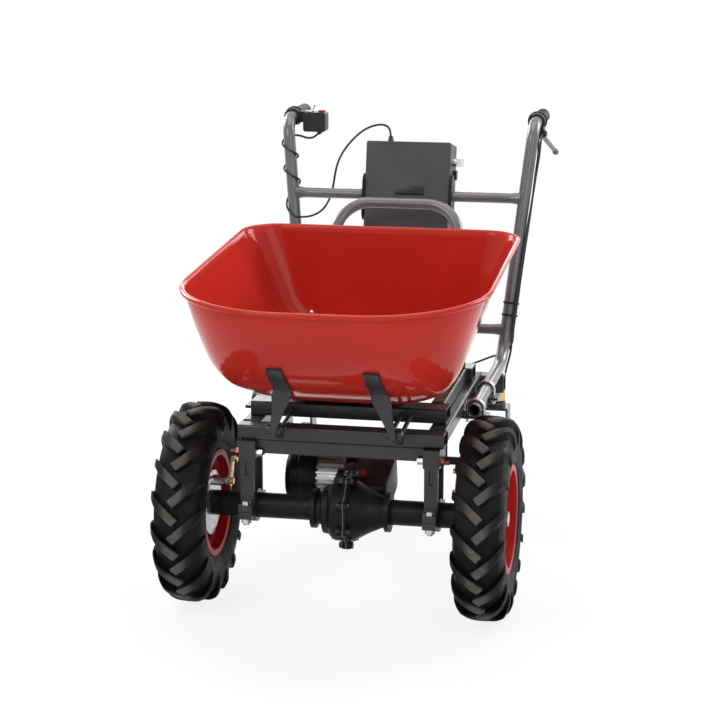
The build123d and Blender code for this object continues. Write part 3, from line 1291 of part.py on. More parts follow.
def direction_switch():
    """The toggle rod that picks forward or reverse, leaning one way, with a ball at each end."""
    outer, middle, top = switch_place()
    rod = bar_z(0, TOGGLE_DEPTH + TOGGLE_LENGTH, 0, 0, TOGGLE_RADIUS)
    rod += Pos(0, 0, TOGGLE_DEPTH + TOGGLE_LENGTH) * Sphere(TOGGLE_BALL_RADIUS)
    rod += Sphere(TOGGLE_BALL_RADIUS)
    return Pos(outer + TOGGLE_X, middle, top - TOGGLE_DEPTH) * Rot(0, TOGGLE_TILT, 0) * rod


def lever_place():
    """The brake lever's place: round the left handle's top run and turned outwards."""
    return Pos(HANDLE_TOP_X, 0, HANDLE_TOP_Z) * Rot(0, -LEVER_TILT, 0)


def brake_bracket():
    """The brake lever's bracket: a clamp ring, two cheeks below it, the lever's pin and the cable's stop."""
    front, back = control_place()
    middle = (front + back) / 2
    outside = HANDLE_TUBE_RADIUS + CLAMP_RING_WALL
    ring = bar_y(front, back, 0, 0, outside)
    low = -LEVER_PIVOT_DROP - LEVER_BOSS_RADIUS
    inner = LEVER_WIDTH / 2 + BODY_GAP
    cheek = block(inner, inner + CHEEK_WALL, front, back, low, -outside / 2)
    stop = block(-inner - CHEEK_WALL, inner + CHEEK_WALL, front - LEVER_STOP_WALL, front, low, -outside / 2)
    bracket = ring + cheek + mirrored(cheek) + stop
    bracket -= bar_y(front - 10, back + 1, 0, 0, HANDLE_TUBE_RADIUS + RUNNING_FIT)
    reach = inner + CHEEK_WALL + 2
    return bracket + bar_x(-reach, reach, middle, -LEVER_PIVOT_DROP, LEVER_PIVOT_RADIUS)


def brake_lever():
    """The brake lever: a bored boss, a bar that droops away from the grip and a ball end."""
    front, back = control_place()
    y = (front + back) / 2
    z = -LEVER_PIVOT_DROP
    half = LEVER_WIDTH / 2
    boss = bar_x(-half, half, y, z, LEVER_BOSS_RADIUS)
    drop = math.tan(math.radians(LEVER_DROOP)) * LEVER_LENGTH
    start = Plane((0, y, z), x_dir=(1, 0, 0), z_dir=(0, 1, 0))
    stop = Plane((0, y + LEVER_LENGTH, z - drop), x_dir=(1, 0, 0), z_dir=(0, 1, 0))
    base = start * Rectangle(LEVER_WIDTH, LEVER_HEIGHT)
    tip = stop * Rectangle(LEVER_WIDTH, LEVER_TIP_HEIGHT)
    bar = loft([base, tip])
    ball = Pos(0, y + LEVER_LENGTH, z - drop) * Sphere(LEVER_BALL_RADIUS)
    hole = bar_x(-half - 1, half + 1, y, z, LEVER_PIVOT_RADIUS + RUNNING_FIT)
    return boss + bar + ball - hole


def add_controls():
    """Grips, switch box, button, toggle and brake lever."""
    front = GRIP_END - GRIP_LENGTH
    NODES["left_grip"] = grip(front)
    NODES["throttle_grip"] = mirrored(grip(front))
    NODES["switch_box"] = switch_box()
    NODES["red_button"] = red_button()
    NODES["direction_switch"] = direction_switch()
    NODES["brake_bracket"] = lever_place() * brake_bracket()
    NODES["brake_lever"] = lever_place() * brake_lever()


# Cables


def corner_radii(points):
    """The largest even arc at each corner of a cable's route."""
    radii = []
    for before, here, after in zip(points, points[1:], points[2:]):
        into = here - before
        out = after - here
        turn = math.radians(into.get_angle(out))
        radii.append(0.45 * min(into.length, out.length) / math.tan(turn / 2))
    return radii


def least_gap(path, radius):
    """The least gap of a cable to itself, between places more than a few diameters apart along it."""
    step = radius / 2
    count = int(path.length / step)
    places = [tuple(path @ (index / count)) for index in range(count + 1)]
    apart = int(10 * radius / step)
    gaps = []
    for index, place in enumerate(places):
        gaps += [math.dist(place, other) for other in places[index + apart:]]
    return min(gaps) - 2 * radius


def cable(name, points, radius):
    """A cable along its route, with its length, tightest arc and least gap to itself printed."""
    points = [Vector(*point) for point in points]
    radii = corner_radii(points)
    path = FilletPolyline(points, radius=radii)
    solid = sweep(Plane(path @ 0, z_dir=path % 0) * Circle(radius), path=path)
    gap = round(least_gap(path, radius), 2)
    print(name, "length", round(path.length), "least radius", round(min(radii), 1), "least gap", gap)
    return solid


def beside_upright(offsets):
    """Cable points given by their distance from the left upright's centre and their height."""
    points = []
    for x, y, z in offsets:
        centre = upright_at(z)
        points.append((centre.X + x, centre.Y + y, z))
    return points


def brake_cable_start(side):
    """A brake cable's place on the front of the lever's stop, one to each side of its middle."""
    front = control_place()[0] - LEVER_STOP_WALL
    spot = lever_place() * Pos(side * BRAKE_CABLE_SPREAD, front, -LEVER_PIVOT_DROP)
    return tuple(spot.position)


def brake_cable_end(side):
    """The last run of a brake cable, along the rail to its stop in front of the wheel."""
    end_z = brake_arm_end()[1]
    stop = CABLE_STOP_Y + CABLE_STOP_WALL
    x = BRAKE_ARM_X
    return [
        (side * x, 480, 342), (side * (x + 0.4), 400, 342.4), (side * (x - 0.4), 320, 342),
        (side * x, 245, 340), (side * (x - 1), 190, 328), (side * (x - 1), 150, 308),
        (side * x, 124, end_z), (side * x, stop, end_z),
    ]


def left_brake_cable():
    """The left brake cable: down outside the left upright, round the caster's head and along the rail."""
    down = beside_upright([
        (21, 8, 842), (20, 5, 805), (19.5, 0, 765), (19, -4, 725), (17.5, -6.5, 685), (16, -8, 645),
        (15, -9.5, 605), (14.6, -10.4, 560), (14.5, -10.5, 515), (14.4, -10.8, 470), (14, -11.5, 440),
    ])
    under = [
        (258, 713, 396), (249, 704, 358), (243.5, 690, 327), (231, 677, 308), (208, 665, 303.5),
        (199, 640, 303), (202, 610, 309), (213, 575, 323), (227, 530, 337),
    ]
    start = brake_cable_start(1)
    turn = [
        (start[0], start[1] - CABLE_START_RUN, start[2]),
        (start[0] - 0.5, start[1] - CABLE_START_RUN - 14, start[2] - 15),
    ]
    return cable("left brake cable", [start, *turn, *down, *under, *brake_cable_end(1)], BRAKE_CABLE_RADIUS)


def right_brake_cable():
    """The right brake cable: beside the left one, then across the rear beam and along the right rail."""
    down = beside_upright([
        (17.5, 14, 842), (17.5, 11, 805), (18.5, 6.5, 765), (19, 2.6, 725), (19, 0, 685), (18.4, -1.5, 645),
        (18, -3, 605), (17.7, -3.8, 560), (17.9, -4.4, 515), (17.5, -4.6, 470), (17, -4, 440),
    ])
    across = [
        (259, 728, 410), (248, 732, 389), (229, 730, 379), (211, 721, 375), (190, 708, 368),
        (168, 692, 361.5), (140, 672, 357.5), (102, 653, 356.3), (55, 642, 356), (0, 646, 356.2),
        (-58, 641, 356), (-115, 645, 356.2), (-168, 640, 358), (-204, 620, 358.5), (-214, 588, 352),
        (-226, 540, 344),
    ]
    start = brake_cable_start(-1)
    turn = [
        (start[0], start[1] - CABLE_START_RUN, start[2]),
        (start[0] + 1.5, start[1] - CABLE_START_RUN - 12, start[2] - 15),
    ]
    route = [start, *turn, *down, *across, *brake_cable_end(-1)]
    return cable("right brake cable", route, BRAKE_CABLE_RADIUS)


def helix_point(angle):
    """A point of the control cable where it winds round the right upright, closer together at the top."""
    close = (min(angle, HELIX_CLOSE_END) - HELIX_START) * HELIX_CLOSE_PITCH / 360
    wide = max(angle - HELIX_CLOSE_END, 0) * HELIX_OPEN_PITCH / 360
    z = HELIX_TOP_Z - close - wide
    centre = upright_at(z)
    turn = math.radians(angle)
    return (-centre.X + HELIX_RADIUS * math.cos(turn), centre.Y + HELIX_RADIUS * math.sin(turn), z)


def control_cable():
    """The switch box's lead: wound down the right upright, behind the bar and into the box's gland."""
    start, way = cable_exit()
    first = start + way * CONTROL_CABLE_RUN
    out = [tuple(start), tuple(first), (first.X - 16, first.Y - 3, first.Z - 2), (-270, 826, 870)]
    winding = [helix_point(angle) for angle in range(HELIX_START, HELIX_END + 1, HELIX_STEP)]
    loop = [
        (-250, 744, 687), (-229, 752, 688), (-209, 770, 696), (-196, 788, 713), (-187, 792, 736),
        (-181, 792, 762), (-177, 791, 789), (-170, 792, 816), (-156, 796, 843), (-135, 803, 869),
        (-112, 812, 889), (-88, 823, 899), (-67, 832, 900),
    ]
    above = box_place() * Pos(GLAND_X, BOX_DEPTH / 2, BOX_HEIGHT + 2 * GLAND_HEIGHT)
    inside = box_place() * Pos(GLAND_X, BOX_DEPTH / 2, BOX_HEIGHT)
    points = [*out, *winding, *loop, tuple(above.position), tuple(inside.position)]
    return cable("control cable", points, CONTROL_CABLE_RADIUS)


def cable_tie(z):
    """A tie round the left upright and both brake cables."""
    centre = upright_at(z)
    along = (upright_at(z + 1) - centre).normalized()
    circles = Circle(HANDLE_TUBE_RADIUS + SEAT_GAP).edges()
    for x, y in ((14.5, -10.5), (17.6, -4.3)):
        circles += (Pos(x, y) * Circle(BRAKE_CABLE_RADIUS + 2 * SEAT_GAP)).edges()
    inner = make_hull(circles)
    ring = offset(inner, TIE_WALL) - inner
    return Plane(centre, x_dir=(1, 0, 0), z_dir=along) * extrude(ring, amount=TIE_WIDTH)


def add_cables():
    """The brake cables, their ties and the control cable."""
    NODES["brake_cables"] = group(left_brake_cable(), right_brake_cable())
    NODES["cable_ties"] = group(*[cable_tie(z) for z in TIE_HEIGHTS])
    NODES["control_cable"] = control_cable()


def main():
    """Makes every node and writes it in the barrow's frame."""
    add_wheels()
    add_axle()
    add_chassis()
    add_tray()
    add_handles()
    add_casters()
    add_box()
    add_controls()
    add_cables()
    front = NODES["tray"].bounding_box().min.Y
    shift = Pos(0, -(front + GRIP_END) / 2, 0)
    print("axle behind the front", round(-front, 3), "nodes", len(NODES))
    os.makedirs("parts", exist_ok=True)
    for name, piece in NODES.items():
        export_step(shift * piece, f"parts/{name}.step")


main()
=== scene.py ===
"""Looks of the electric power barrow: finishes, cables, fitted pieces, floor, light and camera.

The file is laid out as an add-on and is run as a script. Places from drawings of the barrow are in
millimetres from the middle of the drive axle's line on the floor, and row() turns them into metres.
"""

import json
import math

import bpy
import numpy as np
from bpy.props import FloatProperty, FloatVectorProperty, IntProperty, PointerProperty
from bpy.types import Operator, Panel, PropertyGroup
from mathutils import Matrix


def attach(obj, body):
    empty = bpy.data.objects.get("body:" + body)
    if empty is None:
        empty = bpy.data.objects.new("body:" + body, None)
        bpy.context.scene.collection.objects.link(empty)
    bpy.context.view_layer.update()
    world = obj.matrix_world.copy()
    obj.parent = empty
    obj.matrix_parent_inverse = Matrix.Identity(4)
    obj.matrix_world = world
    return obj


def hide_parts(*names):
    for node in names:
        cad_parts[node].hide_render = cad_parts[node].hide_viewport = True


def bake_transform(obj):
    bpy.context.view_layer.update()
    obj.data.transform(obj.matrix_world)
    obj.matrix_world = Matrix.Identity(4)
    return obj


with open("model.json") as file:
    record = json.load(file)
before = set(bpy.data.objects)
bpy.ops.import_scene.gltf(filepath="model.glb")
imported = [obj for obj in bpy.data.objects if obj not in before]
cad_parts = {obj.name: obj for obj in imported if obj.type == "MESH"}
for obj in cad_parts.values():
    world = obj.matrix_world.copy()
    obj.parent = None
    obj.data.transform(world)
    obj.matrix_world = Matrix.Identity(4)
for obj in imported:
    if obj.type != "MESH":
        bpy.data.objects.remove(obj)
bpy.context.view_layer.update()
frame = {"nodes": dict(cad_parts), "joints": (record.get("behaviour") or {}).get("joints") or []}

bl_info = {
    "name": "Power barrow looks",
    "version": (1, 0, 0),
    "blender": (4, 5, 0),
    "location": "View3D > Sidebar > Barrow",
    "description": "Finishes, cables, small fittings and stage of an electric power barrow",
    "category": "Object",
}

MM = 1000.0
JOINTS = {joint["name"]: joint for joint in frame["joints"]}
WHEEL_X, AXLE_Y, AXLE_Z = JOINTS["left_wheel_spin"]["pos_m"]
SIDES = ((1.0, "left"), (-1.0, "right"))
SHARP_EDGE = math.radians(38.0)
COAT_ROUGHNESS = 0.12

# Handles, cables and battery box

HANDLE_FOOT = np.array([236.0, 713.0, 367.0])
HANDLE_HEAD = np.array([292.0, 798.0, 912.0])
GRIP_START = 863.0
GRIP_END = 985.0
CABLE_STOP = np.array([236.0, 96.0, 295.84])
BRAKE_EYE = np.array([236.0, 28.0, 295.84])
WINDING_RADIUS = 20.5
BOX_LEAN = math.radians(12.0)
BOX_PLATE = np.array([5.3, 760.5, 755.1])

# Tray and what holds it

TRAY_FLOOR_Z = 413.0
TRAY_DEPTH = 279.4
TRAY_FRONT_SWELL = 1.5
FRONT_LEAST_ROUND = 64.0
REAR_LEAST_ROUND = 38.0
TRAY_BASE = {"front": -31.0, "rear": 455.0, "front_half": 226.0, "rear_half": 177.0, "front_round": 29.0,
             "rear_round": 60.0}
TRAY_RIM = {"front": -282.0, "rear": 465.0, "front_half": 306.0, "rear_half": 303.0, "front_round": 235.0,
            "rear_round": 75.0}
BAR_THICKNESS = 6.0
PIVOT = np.array([123.0, -78.0, 393.0])
EYE_ASIDE = 10.4
BRACE_X = 96.0
BRACE_TAB_TOP = 138.0
BRACE_TAB_FOOT = 78.0
BRACE_OFF_WALL = 3.4
BRACE_TAIL = np.array([PIVOT[0], 59.0, 401.0])
STRAP_X = 170.0
STRAP_TOUCH = 105.0
STRAP_OFF_WALL = 3.3
STRAP_BACK = 6.2
TRAY_BOLT = np.array([163.0, 456.5, 519.0])

# Tyres, drive and axle hangers

LUG_WIDTH = 0.017
LUG_PAST_CROWN = 5.2
LUG_FOOT = 143.0
LUG_ROOT = 3.0
TREAD_RADIUS = 200.0
OUTER_DRAW = 6.2
INNER_DRAW = 1.6
MOTOR_MIDDLE = np.array([-70.0, 122.0, 240.0])
GEAR_CASE = np.array([-27.0, 98.0, 233.7])
GEAR_CASE_LEAN = math.atan2(32.0, 122.0)
GEAR_CASE_UP = (0.0, -0.254, 0.967)
SEAM_X = 15.0
FLANGE_RADIUS = 70.0
SEAM_BOLT_RADIUS = 72.0
SEAM_BOSS = 9.0
HANGER_SLOT = np.array([190.0, -32.2, 295.0])


# Settings


def length_prop(name, description, default):
    """A size in metres that a user may change."""
    return FloatProperty(name=name, description=description, default=default, min=0.0, unit="LENGTH",
                         precision=4)


def angle_prop(name, description, default):
    """An angle in degrees that a user may change."""
    return FloatProperty(name=name, description=description + ", in degrees", default=default)


def level_prop(name, description, default):
    """A level of light that a user may change."""
    return FloatProperty(name=name, description=description, default=default, min=0.0)


def colour_prop(name, description, default):
    """A finish's colour that a user may change."""
    return FloatVectorProperty(name=name, description=description, default=default, size=3, subtype="COLOR",
                               min=0.0, max=1.0)


class BarrowPaint(PropertyGroup):
    """Colours of the barrow's finishes."""

    tray: colour_prop("Tray", "Red enamel of the tray", (0.45, 0.023, 0.015))
    rim: colour_prop("Wheel rims", "Red enamel of the wheel rims", (0.38, 0.010, 0.010))
    chassis: colour_prop("Chassis", "Anthracite paint of the chassis", (0.023, 0.023, 0.026))
    handle: colour_prop("Handles", "Grey paint of the handle tubes", (0.095, 0.093, 0.100))
    box: colour_prop("Battery box", "Dark grey paint of the box", (0.034, 0.034, 0.036))
    drive: colour_prop("Drive", "Black paint of the axle and differential", (0.0075, 0.0075, 0.0080))
    rubber: colour_prop("Tyres", "Black rubber of the tyres", (0.0050, 0.0047, 0.0046))


class BarrowCables(PropertyGroup):
    """Sizes of the barrow's cables."""

    lead: length_prop("Lead", "Diameter of the control lead", 0.005)
    brake: length_prop("Brake cable", "Diameter of a brake cable's sheath", 0.005)
    wire: length_prop("Brake wire", "Diameter of the bare wire at a brake arm", 0.0022)


class BarrowTray(PropertyGroup):
    """Sizes of the pressed tray."""

    wall: length_prop("Wall", "Thickness of the tray's sheet", 0.0025)
    bead: length_prop("Bead", "Radius of the rolled rim", 0.006)
    bottom_round: length_prop("Bottom round", "Radius of the bottom edge at the front and sides", 0.137)
    rear_round: length_prop("Rear round", "Radius of the bottom edge at the rear", 0.108)
    tilt: angle_prop("Rim tilt", "Rise of the rim towards the rear", 3.1)


class BarrowTyres(PropertyGroup):
    """Tread of the drive tyres."""

    lugs: IntProperty(name="Lugs", description="Lugs on each side of a tyre", default=17, min=8)
    slant: angle_prop("Slant", "Turn of a lug from straight across", 42.0)
    width: length_prop("Lug width", "Thickness of a lug across its own run", LUG_WIDTH)


class BarrowStage(PropertyGroup):
    """Camera and light levels."""

    lens: FloatProperty(name="Lens", description="Focal length", default=104.7, unit="CAMERA")
    azimuth: angle_prop("Azimuth", "Camera's turn to the barrow's left", 11.06)
    elevation: angle_prop("Elevation", "Camera's height above the horizon", 13.19)
    distance: length_prop("Distance", "Camera's distance from its target", 4.216)
    sky: level_prop("Sky", "Strength of the light from all round", 0.40)
    key: level_prop("Key light", "Power of the front light", 70.0)
    rim_light: level_prop("Rim lights", "Power of each light behind", 85.0)
    strip: level_prop("Strip", "Power of the low strip behind, that upper faces mirror", 26.0)


# Places and paths


def row(points):
    """Places in millimetres from the axle, as metres in the barrow's frame."""
    return (np.asarray(points, float) + np.array([0.0, MM * AXLE_Y, 0.0])) / MM


def from_axle(place):
    """A place in metres in the barrow's frame, as millimetres from the axle."""
    return MM * np.asarray(place, float) - np.array([0.0, MM * AXLE_Y, 0.0])


def on_side(points, side):
    """Places drawn on the left: as they are for side 1, mirrored to the right for side -1."""
    return np.asarray(points, float) * np.array([side, 1.0, 1.0])


def both_sides(shapes):
    """Shapes drawn on the left, and then their mirror images on the right."""
    return [on_side(shape, side) for side, _ in SIDES for shape in shapes]


def unit(vectors):
    """Vectors brought to a length of 1."""
    vectors = np.asarray(vectors, float)
    return vectors / np.linalg.norm(vectors, axis=-1, keepdims=True)


def circle(count):
    """Even steps of one full turn."""
    return np.linspace(0.0, 2.0 * np.pi, count, endpoint=False)


def run_along(path):
    """The distance along a path at each of its points, as the sum of the steps before it."""
    return np.concatenate([[0.0], np.cumsum(np.linalg.norm(np.diff(path, axis=0), axis=1))])


def smooth(value):
    """A step from 0 to 1 with rounded ends: three squares less two cubes."""
    value = np.clip(value, 0.0, 1.0)
    return value * value * (3.0 - 2.0 * value)


def straight(first, last, step=0.75):
    """Points in a line between two places, a step apart."""
    first, last = np.asarray(first, float), np.asarray(last, float)
    count = max(int(np.linalg.norm(last - first) / step), 4)
    return first + np.linspace(0.0, 1.0, count)[:, None] * (last - first)


def bend(first, middle, last, count=16):
    """Points on the smooth bend that leaves one place towards a middle one and turns to reach the last."""
    t = np.linspace(0.0, 1.0, count)[:, None]
    first, middle, last = (np.asarray(place, float) for place in (first, middle, last))
    return (1.0 - t) ** 2 * first + 2.0 * t * (1.0 - t) * middle + t ** 2 * last


def arc(first, middle, last, count):
    """Points on the circle through three places of a section, by turning the first about its centre."""
    a, b, c = complex(*first), complex(*middle), complex(*last)
    w = (c - a) / (b - a)
    centre = a + (b - a) * (w - abs(w) ** 2) / (2j * w.imag)
    sweep = np.angle((b - centre) / (a - centre)) + np.angle((c - centre) / (b - centre))
    spots = centre + (a - centre) * np.exp(1j * np.linspace(0.0, sweep, count))
    return np.stack([spots.real, spots.imag], 1)


def fillet(before, corner, after, radius, count):
    """Points on the arc of a radius that touches both sides of a corner, for columns of complex places."""
    ahead = (before - corner) / np.abs(before - corner)
    back = (after - corner) / np.abs(after - corner)
    half = 0.5 * np.arccos(np.clip((ahead * back.conj()).real, -1.0, 1.0))
    centre = corner + (ahead + back) / np.abs(ahead + back) * radius / np.sin(half)
    first = corner + ahead * radius / np.tan(half)
    last = corner + back * radius / np.tan(half)
    sweep = np.angle((last - centre) / (first - centre))
    share = np.linspace(0.0, 1.0, count)
    return centre[:, None] + (first - centre)[:, None] * np.exp(1j * sweep[:, None] * share[None, :])


# Shapes as grids of points in millimetres


def tube(path, radius, sides):
    """A round bar: at each point of the path stands a circle square to it, of its own radius."""
    path = np.asarray(path, float)
    radius = np.broadcast_to(np.asarray(radius, float), len(path))
    along = unit(np.gradient(path, axis=0))
    across = unit(np.cross(along, np.eye(3)[int(np.argmin(np.ptp(path, axis=0)))]))
    up = np.cross(across, along)
    turn = circle(sides)
    ring = np.cos(turn)[None, :, None] * across[:, None] + np.sin(turn)[None, :, None] * up[:, None]
    return path[:, None] + radius[:, None, None] * ring


def bead(path, radius=2.4):
    """A weld: a bar whose radius ripples every 3 mm along it and closes in at its ends."""
    run = run_along(path)
    ripple = 0.84 + 0.16 * np.abs(np.sin(np.pi * run / 3.0))
    end = np.clip(np.minimum(run, run[-1] - run) / 2.5 + 0.25, 0.0, 1.0)
    return tube(path, radius * ripple * np.sqrt(end), 8)


def turned(base, way, profile, sides, flutes=0, depth=0.0):
    """A turned shape: each pair of the profile is a distance along the axis and a radius, carried round it.

    Flutes add a wave round the axis, as deep at each pair as depth says. Six sides give a hexagon.
    """
    way = unit(way)
    across = unit(np.cross(way, np.eye(3)[int(np.argmin(np.abs(way)))]))
    up = np.cross(way, across)
    along, radius = np.asarray(profile, float).T
    turn = circle(sides)
    ring = np.cos(turn)[:, None] * across + np.sin(turn)[:, None] * up
    depth = np.broadcast_to(np.asarray(depth, float), len(along))
    reach = radius[:, None] + depth[:, None] * np.cos(flutes * turn)[None, :]
    return np.asarray(base, float) + along[:, None, None] * way + reach[:, :, None] * ring


def plate(base, right, up, size, thickness, corner, soft):
    """A block with round corners: a rounded oblong, raised by the thickness, with softened edges."""
    right, up = np.asarray(right, float), np.asarray(up, float)
    out = np.cross(right, up)
    points = 40
    turn = circle(points) + math.pi / points
    edge = 0.3 * soft
    rows = []
    for inset, lift in ((soft, 0.0), (edge, edge), (0.0, soft), (0.0, thickness - soft),
                        (edge, thickness - edge), (soft, thickness)):
        x = np.sign(np.cos(turn)) * (size[0] / 2.0 - corner) + (corner - inset) * np.cos(turn)
        y = np.sign(np.sin(turn)) * (size[1] / 2.0 - corner) + (corner - inset) * np.sin(turn)
        rows.append(np.asarray(base, float) + x[:, None] * right + y[:, None] * up + lift * out)
    return np.stack(rows)


def strap(path, width):
    """A flat bar: at each point of the path a softened oblong square to it, its width across the barrow."""
    path = np.asarray(path, float)
    width = np.broadcast_to(np.asarray(width, float), len(path))
    along = unit(np.gradient(path, axis=0))
    across = unit(np.array([1.0, 0.0, 0.0]) - along * along[:, :1])
    out = np.cross(along, across)
    soft = 0.16 * BAR_THICKNESS
    half = BAR_THICKNESS / 2.0
    edge = [(-soft, half), (0.0, half - soft), (0.0, soft - half), (-soft, -half)]
    side = np.array([(sign, inset, lift) for sign in (1.0, -1.0) for inset, lift in edge[::int(sign)]])
    reach = side[None, :, 0] * (width[:, None] / 2.0 + side[None, :, 1])
    return path[:, None] + reach[:, :, None] * across[:, None] + side[None, :, 2:] * out[:, None]


# New pieces


def placed(name, data):
    """A new object in the scene, at the origin."""
    piece = bpy.data.objects.new(name, data)
    bpy.context.scene.collection.objects.link(piece)
    return piece


def grid_faces(rows, columns, close_rows):
    """Quads between neighbours on a grid of points, as whole index arrays."""
    i = np.arange(rows if close_rows else rows - 1)[:, None]
    j = np.arange(columns)[None, :]
    down = (i + 1) % rows
    right = (j + 1) % columns
    quads = [i * columns + j, i * columns + right, down * columns + right, down * columns + j]
    return np.stack(np.broadcast_arrays(*quads), -1).reshape(-1, 4)


def surface(name, grids=(), rings=()):
    """One mesh from grids of points in millimetres, each row of which is a closed outline.

    Neighbours are joined by quads. A grid's first and last row are capped, and those of a ring are joined
    to each other. Where the quads hold a negative volume the outlines are turned, so that faces point out.
    """
    vertices, faces, start = [], [], 0
    for grid, closed in [(grid, False) for grid in grids] + [(ring, True) for ring in rings]:
        points = row(grid)
        rows, columns = points.shape[:2]
        quads = grid_faces(rows, columns, closed)
        a, b, c, d = (points.reshape(-1, 3) - points.mean((0, 1)))[quads].transpose(1, 0, 2)
        if np.sum(a * (np.cross(b, c) + np.cross(c, d))) < 0.0:
            points = points[:, ::-1]
        vertices.append(points.reshape(-1, 3))
        faces += (quads + start).tolist()
        if not closed:
            faces.append(list(range(start, start + columns))[::-1])
            faces.append(list(range(start + (rows - 1) * columns, start + rows * columns)))
        start += rows * columns
    mesh = bpy.data.meshes.new(name)
    mesh.from_pydata(np.vstack(vertices).tolist(), [], faces)
    mesh.validate()
    return placed(name, mesh)


def cord_piece(name, route, diameter):
    """One smooth cable: a spline whose control points are the route's points."""
    points = row(route)
    curve = bpy.data.curves.new(name, "CURVE")
    curve.dimensions = "3D"
    curve.bevel_depth = diameter / 2.0
    curve.bevel_resolution = 4
    curve.resolution_u = 8
    curve.use_fill_caps = True
    spline = curve.splines.new("NURBS")
    spline.points.add(len(points) - 1)
    spline.points.foreach_set("co", np.column_stack([points, np.ones(len(points))]).ravel())
    spline.order_u = 3
    spline.use_endpoint_u = True
    return placed(name, curve)


def dress(piece, finish, body, node=None):
    """Gives a new piece its finish and a body to ride on, and hides the solid it stands for, if it has one.

    A mesh is shaded smooth between its sharp edges.
    """
    piece.data.materials.append(finishes[finish])
    if piece.type == "MESH":
        piece.data.shade_smooth()
        piece.data.set_sharp_from_angle(angle=SHARP_EDGE)
    if body:
        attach(piece, body)
    if node:
        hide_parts(node)


# Finishes


def tone(colour, factor):
    """A colour made lighter or darker."""
    return tuple(min(1.0, channel * factor) for channel in colour)


class Nodes:
    """A node tree in the making: each call adds a node and gives back the socket the next one reads."""

    def __init__(self, tree):
        self.tree = tree

    def put(self, node, socket, value):
        """Sets a socket's own value, or links it to what another node gives."""
        target = node.inputs[socket]
        if isinstance(value, bpy.types.NodeSocket):
            self.tree.links.new(value, target)
        elif target.type == "RGBA" and len(value) == 3:
            target.default_value = (*value, 1.0)
        else:
            target.default_value = value

    def add(self, kind, inputs=(), **settings):
        """A new node with its settings and its inputs, by name or number."""
        node = self.tree.nodes.new(kind)
        for name, value in settings.items():
            setattr(node, name, value)
        for name, value in dict(inputs).items():
            self.put(node, name, value)
        return node

    def spread(self, value, low, high, to_low=0.0, to_high=1.0):
        """A value's range between two levels, smoothed and carried to another range."""
        inputs = {"Value": value, "From Min": low, "From Max": high, "To Min": to_low, "To Max": to_high}
        return self.add("ShaderNodeMapRange", inputs, interpolation_type="SMOOTHSTEP").outputs["Result"]

    def maths(self, operation, first, second=0.0):
        """One step of arithmetic."""
        return self.add("ShaderNodeMath", {0: first, 1: second}, operation=operation).outputs[0]

    def times(self, first, second):
        """One value times another."""
        return self.maths("MULTIPLY", first, second)


